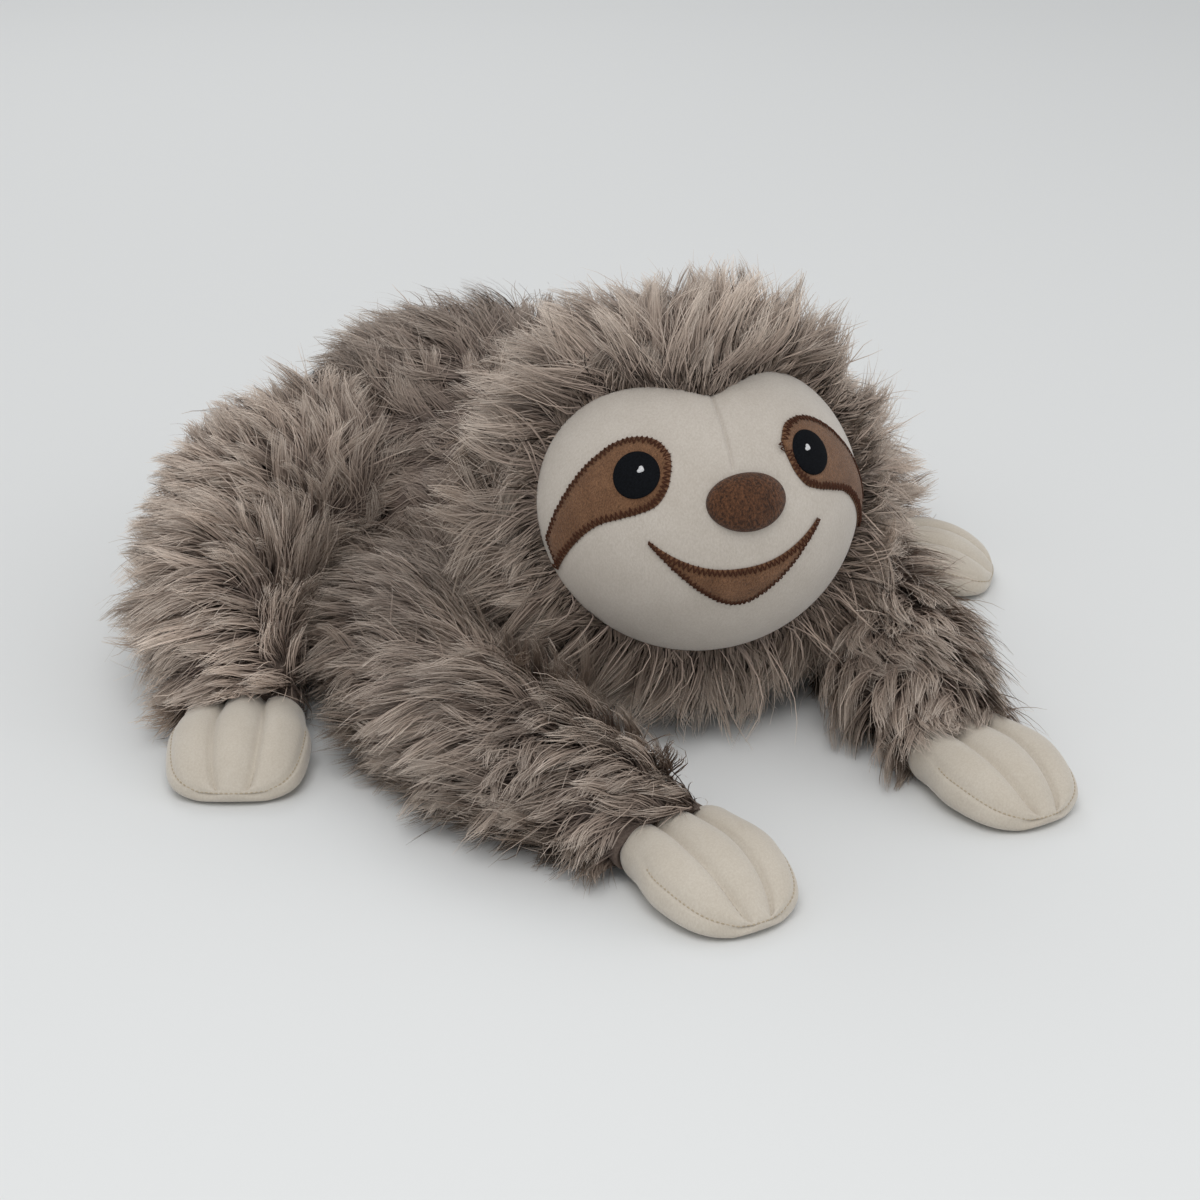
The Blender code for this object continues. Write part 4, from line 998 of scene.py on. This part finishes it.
def make_head():
    """The hood's backing runs from the face's edge to the back of the head, its pile away from the face."""
    columns, rows = 96, 64
    turn = 2 * np.pi * np.arange(columns) / columns
    share = (np.arange(rows + 1) / rows)[:, None]
    edge = face_edge(turn)
    start = edge - HOOD_UNDER_EDGE
    away = start + (np.pi - edge + HOOD_UNDER_EDGE) * share ** 1.15
    direction = way(np.broadcast_to(turn, away.shape), away)
    low = on_shell(direction, HOOD_LOW)
    mix = smooth((away - edge) / math.radians(HOOD_EASE_DEG))[..., None]
    outer = low + (hood_form(direction) - low) * mix
    inner = on_shell(way(turn, start), HOOD_TUCK)[None]
    heart = np.repeat(on_shell(FACE_WAY[None], HOOD_HEART), columns, 0)[None]
    rings = from_head(np.concatenate((heart, inner, outer), 0))
    points, faces = skin("head_backing", "head", rings, ("head_hood", "head_filling"))

    fur = Fur("head", 41).sow(points, faces)
    local, size, away, turn = about_face(fur.roots)
    depth = size / np.linalg.norm(on_shell(unit(local)), axis=1)
    fur.keep((away > face_edge(turn) - 0.001) & (depth > 0.96))
    # The head's pile tone of 0.46, lighter than the torso's, is set as painted light
    grow(fur, *head_brushing(fur), 0.86, 0.55, shade=0.46, tousle=0.44, avoid=(off_face, under_crown),
         cull=(over_face,))

    rim = Fur("head", 43, RIM_SPACING, "_rim")
    turn = rim.rng.uniform(-np.pi, np.pi, RIM_COUNT)
    above = np.clip(np.cos(turn), 0, 1)
    back = RIM_REACH_BACK * rim.rng.random(RIM_COUNT) ** RIM_THINNING
    past = RIM_PAST - RIM_PAST_ABOVE * above + back
    spot = on_shell(way(turn, face_edge(turn) + past), RIM_DEPTH + 0 * past)
    rim.roots = from_head(spot)
    rim.normals = unit(unit(spot / FACE_HALF ** 2) @ HEAD_TURN.T)
    flow, length, lift, bend, droop = head_brushing(rim)
    lift = rim.rng.uniform(*np.radians(RIM_LIFT_DEG), RIM_COUNT)
    length = length * rim.rng.uniform(*RIM_LENGTH_SHARES, RIM_COUNT)
    # Painted light: the rim's roots start paler near the face's edge, lifting the shade in the crevice
    # between the face and the fur. The rim's tone of 0.50, like the head's, is set as painted light
    pale = np.clip(RIM_ROOT_PAINTED_LIGHT - RIM_ROOT_PAINTED_LIGHT_LOSS * past, 0.0, RIM_MOST_ROOT_PAINTED_LIGHT)
    grow(rim, flow, length, lift, bend, droop, 0.80, 0.55, pale, 0.50, 0.40, avoid=(off_face, under_crown),
         cull=(over_face,))


# The face: a dart with a narrow seam and a wider pinch, each with its depth, width, start and ease in degrees

DART_CROWDING = 0.86
DART_SEAM = (0.0009, 0.0008, 9, 5)
DART_PINCH = (0.0016, 0.0055, 15, 30)
FACE_ROLL_SHARE = 0.025
FACE_TUCK = 0.0003
FACE_EDGE_UNDER = 0.006
FACE_EDGE_DEPTH = -0.0034
FACE_HEART = -0.012


def make_face():
    columns, rows = 192, 60
    x = 2 * np.pi * np.arange(columns) / columns - np.pi
    turn = x - DART_CROWDING * np.sin(x)
    share = (np.sin(np.pi / 2 * (np.arange(1, rows + 1) / rows)) ** 0.9)[:, None]
    edge = face_edge(turn)
    away = share * edge
    base = on_shell(way(np.broadcast_to(turn, away.shape), away))
    dent = 0
    for depth, width, start, ease in (DART_SEAM, DART_PINCH):
        run = smooth((away - math.radians(start)) / math.radians(ease)) * (base[..., 2] > 0)
        dent = dent + run * depth * bell(np.abs(base[..., 0]), width)
    roll = np.clip((share - (1 - FACE_ROLL_SHARE)) / FACE_ROLL_SHARE, 0, 1)
    tuck = FACE_TUCK * (1 - np.sqrt(np.maximum(1 - roll ** 2, 0)))
    outer = base - unit(base / FACE_HALF ** 2) * (dent + tuck)[..., None]
    inner = on_shell(way(turn, edge + FACE_EDGE_UNDER), FACE_EDGE_DEPTH)[None]
    first, last = (np.tile(on_shell(FACE_WAY, grow), (1, columns, 1)) for grow in (0.0, FACE_HEART))
    points, faces = closed_rings(from_head(np.concatenate((first, outer, inner, last), 0)))
    put_on(make_object("face_cloth", points, faces, CREAM), "head", ("face_panel",))


# What is sewn on the face. Places are longitude and latitude in degrees

PATCH_UPPER_DEG = ((19.8, 20.0), (24.0, 25.6), (31.3, 27.8), (38.7, 26.8), (45.6, 23.0), (52.6, 16.9),
                   (60.8, 7.0), (69.5, -5.0))
PATCH_LOWER_DEG = ((19.8, 15.5), (21.6, 8.4), (25.5, 3.0), (31.4, 0.8), (38.3, -0.4), (46.2, -2.0),
                   (55.3, -7.0), (68.5, -17.0))
MOUTH_CORNER_DEG = (29.7, -9.5)
MOUTH_UPPER_DROP_DEG = 14.2
MOUTH_LOWER_DROP_DEG = 27.9
MOUTH_OPEN_DEG = 0.60
MOUTH_UPPER_POWER = 2.3
MOUTH_LOWER_POWER = 1.9

EYE_PLACE_DEG = (30.6, 14.0)
GLINT_PLACE_DEG = (28.8, 15.4)
EYES_ASIDE_DEG = -0.8
NOSE_PLACE_DEG = (2.8, 0.4)
EYE_HALF = (0.0088, 0.0088)
GLINT_HALF = (0.0013, 0.0011)
NOSE_HALF = (0.0156, 0.0112)

CLOTH_LOW = 0.0004
CLOTH_UNDER = 0.0003
DOME_UNDER = 0.0004
ZIGZAG_STEP = 0.00096
ZIGZAG_THREAD = (0.00060, 0.00056, 0.00035)
ZIGZAG_HEIGHTS = (0.0014, 0.0006)
ZIGZAG_DEEP, ZIGZAG_OUT, ZIGZAG_SHIFT = (0.97, 0.08), (-0.0004, 0.0001), 0.00012
ZIGZAG_ROOM_SHARE = 0.60
CLOTH_END_SHARE = 0.06


def patch_edges(side):
    def edges(along):
        upper, lower = (tuple(through([p[k] for p in row], along) for k in (0, 1))
                        for row in (PATCH_UPPER_DEG, PATCH_LOWER_DEG))
        return (side * upper[0], upper[1]), (side * lower[0], lower[1])
    return edges


def mouth_edges(along):
    across = 2 * along - 1
    wide, corner = MOUTH_CORNER_DEG
    upper = corner - MOUTH_UPPER_DROP_DEG * (1 - np.abs(across) ** MOUTH_UPPER_POWER) + MOUTH_OPEN_DEG
    lower = corner - MOUTH_LOWER_DROP_DEG * (1 - np.abs(across) ** MOUTH_LOWER_POWER) - MOUTH_OPEN_DEG
    return (wide * across, upper), (wide * across, lower)


def applique(name, node, edges, along, crown=0.0011):
    """Cloth laid on the face, a little fuller in its middle."""
    rows, columns = len(along), 29
    a = along[:, None] + np.zeros(columns)
    b = np.linspace(0, 1, columns)[None, :] + np.zeros_like(a)
    (lon_a, lat_a), (lon_b, lat_b) = edges(a)
    lon, lat = lon_a + (lon_b - lon_a) * b, lat_a + (lat_b - lat_a) * b
    from_end = np.sqrt(np.clip(np.minimum(a - along[0], along[-1] - a) / CLOTH_END_SHARE, 0, 1))
    upper = on_face(lon, lat, CLOTH_LOW + crown * np.sqrt(np.clip(4 * b * (1 - b), 0, 1)) * from_end)
    under = on_face(lon, lat, np.full_like(lon, CLOTH_LOW - CLOTH_UNDER))
    points = from_head(np.concatenate((upper.reshape(-1, 3), under.reshape(-1, 3))))
    count = rows * columns
    faces = [tuple(f) for f in quads_of(rows, columns, False)]
    faces += [tuple(f[::-1] + count) for f in quads_of(rows, columns, False)]
    grid = np.arange(count).reshape(rows, columns)
    border = np.concatenate((grid[0], grid[1:, -1], grid[-1, -2::-1], grid[-2:0:-1, 0])).tolist()
    for p, q in zip(border, border[1:] + border[:1]):
        faces.append((p, p + count, q + count, q))
    made = make_object(name, points, facing_out(points, faces), BROWN)
    put_on(made, "head", (node,))


def stitch_blocks(starts, ends, lift_way, width, height, rise):
    """Small rounded stitches from start to end, bowed up in their middle."""
    sides, steps = 6, 5
    s = np.linspace(0, 1, steps)
    taper = np.sqrt(np.clip(1 - (2 * s - 1) ** 4, 0.02, 1))
    mid = starts[:, None] + (ends - starts)[:, None] * s[None, :, None]
    mid = mid + lift_way[:, None] * (rise * np.sin(np.pi * s) ** 0.7)[None, :, None]
    across = unit(np.cross(unit(ends - starts)[:, None], lift_way[:, None]))
    turn = 2 * np.pi * np.arange(sides) / sides
    ring = (across[:, :, None] * (np.cos(turn) * width / 2)[None, None, :, None]
            + lift_way[:, None, None] * (np.sin(turn) * height / 2)[None, None, :, None])
    points = mid[:, :, None] + ring * taper[None, :, None, None]
    each = steps * sides
    firsts = np.arange(len(starts)) * each
    faces = (quads_of(steps, sides, True)[None] + firsts[:, None, None]).reshape(-1, 4).tolist()
    for first in firsts.tolist():
        faces.append(list(range(first, first + sides))[::-1])
        faces.append(list(range(first + each - sides, first + each)))
    return points.reshape(-1, 3), faces


def walk(line, spacing):
    """Even places along a line of points, with the way on at each; columns past the third ride along."""
    step = np.linalg.norm(np.diff(line[:, :3], axis=0), axis=1)
    total = np.concatenate(((0,), np.cumsum(step)))
    spots = np.arange(0, total[-1], spacing)
    places, ahead, behind = (np.column_stack([np.interp(spots + shift, total, column) for column in line.T])
                             for shift in (0, spacing / 4, -spacing / 4))
    return places, unit((ahead - behind)[:, :3])


def zigzag(name, node, edges, along, rng, reach=0.0030):
    """Machine zigzag over the border of a patch."""
    (lon_a, lat_a), (lon_b, lat_b) = edges(along)
    upper = on_face(lon_a, lat_a, np.zeros_like(lon_a))
    lower = on_face(lon_b, lat_b, np.zeros_like(lon_b))
    room, middle = np.linalg.norm(upper - lower, axis=1), (upper + lower) / 2
    line = np.concatenate((upper, lower[::-1], upper[:1]))
    ridden = np.column_stack((room, middle))
    ridden = np.concatenate((ridden, ridden[::-1], ridden[:1]))
    both, way_on = walk(np.column_stack((line, ridden)), ZIGZAG_STEP)
    places, room, middle = both[:, :3], both[:, 3], both[:, 4:]
    normal = unit(places / FACE_HALF ** 2)
    side = unit(np.cross(normal, way_on))
    inward = side * np.sign(((middle - places) * side).sum(-1, keepdims=True) + 1e-9)
    n = len(places)
    inner = np.arange(n) % 2 == 1
    deep = np.where(inner, np.minimum(reach * rng.normal(*ZIGZAG_DEEP, n), ZIGZAG_ROOM_SHARE * room),
                    rng.normal(*ZIGZAG_OUT, n))
    corner = places + inward * deep[:, None] + normal * np.where(inner, *ZIGZAG_HEIGHTS)[:, None]
    corner += way_on * rng.normal(0, ZIGZAG_SHIFT, (n, 1))
    points, faces = stitch_blocks(corner[:-1], corner[1:], normal[:-1], *ZIGZAG_THREAD)
    put_on(make_object(name, from_head(points), faces, STITCH), "head", (node,))


def domed(name, node, centre, half, rise, base, finish, wobble, seed, power=2.6):
    """A round padded piece that follows the face under it."""
    rings, columns = 26, 72
    lon, lat = centre
    across = np.linalg.norm(on_face(lon + 1.0, lat) - on_face(lon, lat))
    up = np.linalg.norm(on_face(lon, lat + 1.0) - on_face(lon, lat))
    turn = 2 * np.pi * np.arange(columns) / columns
    share = np.sin(np.pi / 2 * np.arange(1, rings + 1) / rings)[:, None]
    rng = np.random.default_rng(seed)
    edge = 1 + wobble * sum(np.sin(waves * turn + rng.uniform(0, 6)) * 0.5 for waves in (2, 3))
    lons = lon + half[0] / across * share * np.cos(turn) * edge
    lats = lat + half[1] / up * share * np.sin(turn) * edge
    upper = on_face(lons, lats, base + rise * np.maximum(1 - share ** power, 0) ** 0.5 + 0 * turn)
    lower = on_face(lons[-1:], lats[-1:], np.full((1, columns), base - DOME_UNDER))
    top, under = (np.tile(on_face(lon, lat, height), (1, columns, 1))
                  for height in (base + rise, base - DOME_UNDER))
    points, faces = closed_rings(from_head(np.concatenate((top, upper, lower, under), 0)))
    put_on(make_object(name, points, faces, finish), "head", (node,))


def make_features():
    rng = np.random.default_rng(5)
    along = np.linspace(0, 1, 90)
    for side, label in ((1, "_left"), (-1, "_right")):
        eye, glint = ((side * lon + EYES_ASIDE_DEG, lat) for lon, lat in (EYE_PLACE_DEG, GLINT_PLACE_DEG))
        applique("eye_patch_cloth" + label, "eye_patch" + label, patch_edges(side), along)
        zigzag("patch_zigzag" + label, "patch_stitching" + label, patch_edges(side), along, rng)
        domed("eye_satin" + label, "eye" + label, eye, EYE_HALF, 0.0009, 0.0017, EYE_BLACK,
              0.015, 3)
        domed("glint_satin" + label, "eye_glint" + label, glint, GLINT_HALF, 0.0004, 0.0026, GLINT_WHITE,
              0.30, 4)
    applique("mouth_cloth", "mouth", mouth_edges, np.linspace(0, 1, 110), 0.0008)
    zigzag("mouth_zigzag", "mouth_stitching", mouth_edges, np.linspace(0, 1, 120), rng, 0.0026)
    domed("nose_pad", "nose", NOSE_PLACE_DEG, NOSE_HALF, 0.0066, 0.0004, NOSE_BROWN, 0.03, 8,
          2.4)


# Paws

CHANNEL_PLACE_SHARE = 0.33
CHANNEL_NARROW = (0.0023, 0.0011)
CHANNEL_WIDE = (0.0026, 0.0042)
SEAM_FALL_SHARE = 0.67
SOLE_FLATNESS = 1.15
LIP_HEIGHT, LIP_PLACE, LIP_WIDTH = 0.0014, 0.0022, 0.0009
CHANNEL_RUN = (0.10, 0.88)
EDGE_RUN = (0.20, 0.935)
STITCH_HALF_LENGTH = 0.0007
STITCH_LIFT = 0.0001
SOLE_POWER, CROWN_POWER, CHANNEL_END = 6, 1.2, (0.97, -0.22)
RIM_AHEAD_SHARE, RIM_ROOM, LIP_OVER = 0.55, 0.0006, 0.3
TIP_ROUNDING, TIP_ROUNDING_POWER = 0.05, 2.5


def paw_height(x, ahead, upper, half_width, length):
    """Height over the cuff's axis of a paw's upper or lower side, with its two sewn channels."""
    base = PAW_BASE_HEIGHT / 2
    seam = -(base - PAW_SEAM_HEIGHT) * smooth(ahead / SEAM_FALL_SHARE)
    pillow = pillow_of(x)
    if not upper:
        sole = seam - (seam + base) * (1 - ahead ** SOLE_POWER)
        return seam + (sole - seam) * np.minimum(pillow * SOLE_FLATNESS, 1)
    crown = base + (PAW_CROWN - PAW_BASE_HEIGHT) * np.sin(np.pi * ahead)
    crown = seam + (crown - seam) * np.maximum(np.cos(np.pi / 2 * ahead), 0) ** CROWN_POWER
    off = np.abs(np.abs(x) - CHANNEL_PLACE_SHARE) * half_width
    channel = sum(depth * bell(off, width) for depth, width in (CHANNEL_NARROW, CHANNEL_WIDE))
    channel = channel * rising(ahead, *CHANNEL_END)
    rim = np.minimum((1 - np.abs(x)) * half_width, (1 - ahead) * length * RIM_AHEAD_SHARE + RIM_ROOM)
    lip = LIP_HEIGHT * bell(rim - LIP_PLACE, LIP_WIDTH) * smooth(ahead / LIP_OVER)
    return np.maximum(seam + (crown - seam) * pillow - channel * pillow - lip, seam)


def paw_outline(ahead, x, limb):
    swell = PAW_BASE_WIDTH + (PAW_WIDTH - PAW_BASE_WIDTH) * smooth(ahead / limb.swell_share)
    half_width = swell / 2 * (1 - limb.tip_share * np.maximum(ahead, 0) ** limb.tip_power)
    round_off = 1 - TIP_ROUNDING * np.abs(x) ** TIP_ROUNDING_POWER * ahead ** 2
    y = -limb.paw_length * np.sin(np.pi / 2 * ahead) * round_off
    return half_width, y


def paw_line(limb, x, ahead):
    """Points on a paw's upper side, in the paw's frame."""
    half, y = paw_outline(ahead, x, limb)
    return np.column_stack((x * half, y, paw_height(x, ahead, True, half, limb.paw_length)))


def paw_lines(limb):
    """Where the thread runs on a paw: along its two channels, then round its edge."""
    ahead = np.linspace(*CHANNEL_RUN, 80)
    lines = [paw_line(limb, np.full(80, side * CHANNEL_PLACE_SHARE), ahead) for side in (-1, 1)]
    start, stop = EDGE_RUN
    ahead = np.concatenate((np.linspace(start, stop, 60), np.full(40, stop), np.linspace(stop, start, 60)))
    rim = 1 - LIP_PLACE / paw_outline(ahead, 0, limb)[0]
    x = np.concatenate((-rim[:60], np.linspace(-rim[59], rim[100], 40), rim[100:]))
    return lines + [paw_line(limb, x, ahead)]


def make_paw(limb):
    columns, rows, heel = 73, 57, 12
    x = np.sin(np.pi / 2 * np.linspace(-1, 1, columns))[None, :]
    ahead = np.sin(np.pi / 2 * np.linspace(0, 1, rows))[:, None] ** 0.8
    half_width, y = paw_outline(ahead, x, limb)
    heel_turn = np.pi / 2 * np.arange(heel)[:, None] / heel
    back_y = PAW_BASE_HEIGHT / 2 * pillow_of(x) * np.cos(heel_turn)
    sheets = []
    for upper in (True, False):
        z = paw_height(x, ahead + 0 * x, upper, half_width, limb.paw_length)
        back = (PAW_BASE_WIDTH / 2 * x, back_y, np.sin(heel_turn) * z[:1])
        for part in (back, (half_width * x, y, z)):
            sheets.append(np.stack(np.broadcast_arrays(*part), -1).reshape(-1, 3))
    world = limb.from_paw(np.concatenate(sheets))
    faces = [tuple(f) for f in quads_of(rows + heel, columns, False)]
    faces += [tuple(f[::-1] + (rows + heel) * columns) for f in quads_of(rows + heel, columns, False)]
    name = limb.paw + limb.label
    made = make_object(limb.paw + "_cloth" + limb.label, world, facing_out(world, faces), PAW_CREAM)
    weld(made)
    nodes = [limb.paw + part + limb.label for part in ("_top", "_sole", "_filling")]
    put_on(made, name, nodes)

    kinds = (("_channel_1", 0.0022, 0.00034, CHANNEL_THREAD), ("_channel_2", 0.0022, 0.00034, CHANNEL_THREAD),
             ("_topstitch", 0.0019, 0.00050, SEAM_THREAD))
    for line, (kind, spacing, size, finish) in zip(paw_lines(limb), kinds):
        places, way_on = walk(line, spacing)
        up = tangent_to(np.tile(UP, (len(places), 1)), way_on)
        reach = way_on * STITCH_HALF_LENGTH
        points, faces = stitch_blocks(places - reach + up * STITCH_LIFT, places + reach + up * STITCH_LIFT,
                                      up, size, size, STITCH_LIFT)
        made = make_object(limb.paw + kind + limb.label, limb.from_paw(points), faces, finish)
        put_on(made, name)


def weld(obj):
    """Join the doubled points of an object's two halves."""
    bm = bmesh.new()
    bm.from_mesh(obj.data)
    bmesh.ops.remove_doubles(bm, verts=bm.verts, dist=1e-5)
    bmesh.ops.recalc_face_normals(bm, faces=bm.faces)
    bm.to_mesh(obj.data)
    bm.free()
    obj.data.shade_smooth()


# Camera, floor and light

CAMERA_TARGET = Vector((-0.0267, -0.0299, 0.0500))
CAMERA_WAY = Vector((-0.4817, -0.7751, 0.4088)).normalized()
CAMERA_DISTANCE = 1.0
CAMERA_LENS_MM = 75
CAMERA_SENSOR_MM = 36
FLOOR_HALF = 6.0
FLOOR_COLOUR = (0.735, 0.742, 0.738, 1)
SKY_COLOUR = (0.97, 0.985, 1.0, 1)
SKY_STRENGTH = 0.62

# Each lamp: its place, the height it aims at over the origin, its size and its power
LAMPS = (("key", (-0.55, -0.75, 1.35), 0.05, 0.9, 9.2), ("fill", (1.3, -0.9, 0.8), 0.05, 1.2, 2.9),
         ("low", (-0.35, -1.3, 0.28), 0.08, 0.9, 1.2), ("back", (0.3, 1.4, 1.3), 0.05, 1.0, 5.0))


def make_camera():
    data = bpy.data.cameras.new("camera")
    data.lens = CAMERA_LENS_MM
    data.sensor_width = CAMERA_SENSOR_MM
    camera = add_object("camera", data)
    camera.location = CAMERA_TARGET + CAMERA_WAY * CAMERA_DISTANCE
    camera.rotation_euler = (-CAMERA_WAY).to_track_quat("-Z", "Y").to_euler()
    bpy.context.scene.camera = camera


def make_stage():
    mesh = bpy.data.meshes.new("floor")
    corners = [(x * FLOOR_HALF, y * FLOOR_HALF, 0) for x, y in ((-1, -1), (1, -1), (1, 1), (-1, 1))]
    mesh.from_pydata(corners, [], [(0, 1, 2, 3)])
    made, _, shader = new_material("floor_pale", 0.9, 0.0, 0.1)
    shader.inputs["Base Color"].default_value = FLOOR_COLOUR
    mesh.materials.append(made)
    add_object("floor", mesh)

    world = bpy.data.worlds.new("world")
    bpy.context.scene.world = world
    world.use_nodes = True
    background = world.node_tree.nodes["Background"]
    background.inputs["Color"].default_value = SKY_COLOUR
    background.inputs["Strength"].default_value = SKY_STRENGTH

    for name, place, aim, size, power in LAMPS:
        data = bpy.data.lights.new(name, "AREA")
        data.size = size
        data.energy = power
        lamp = add_object(name, data)
        lamp.location = place
        lamp.rotation_euler = (Vector(place) - Vector((0, 0, aim))).to_track_quat("Z", "Y").to_euler()


bpy.context.scene.view_settings.view_transform = "Standard"
make_camera()
make_stage()
make_face()
make_features()
for one in limbs:
    make_paw(one)
make_head()
make_torso()
for one in limbs:
    make_limb(one)

bpy.context.view_layer.update()
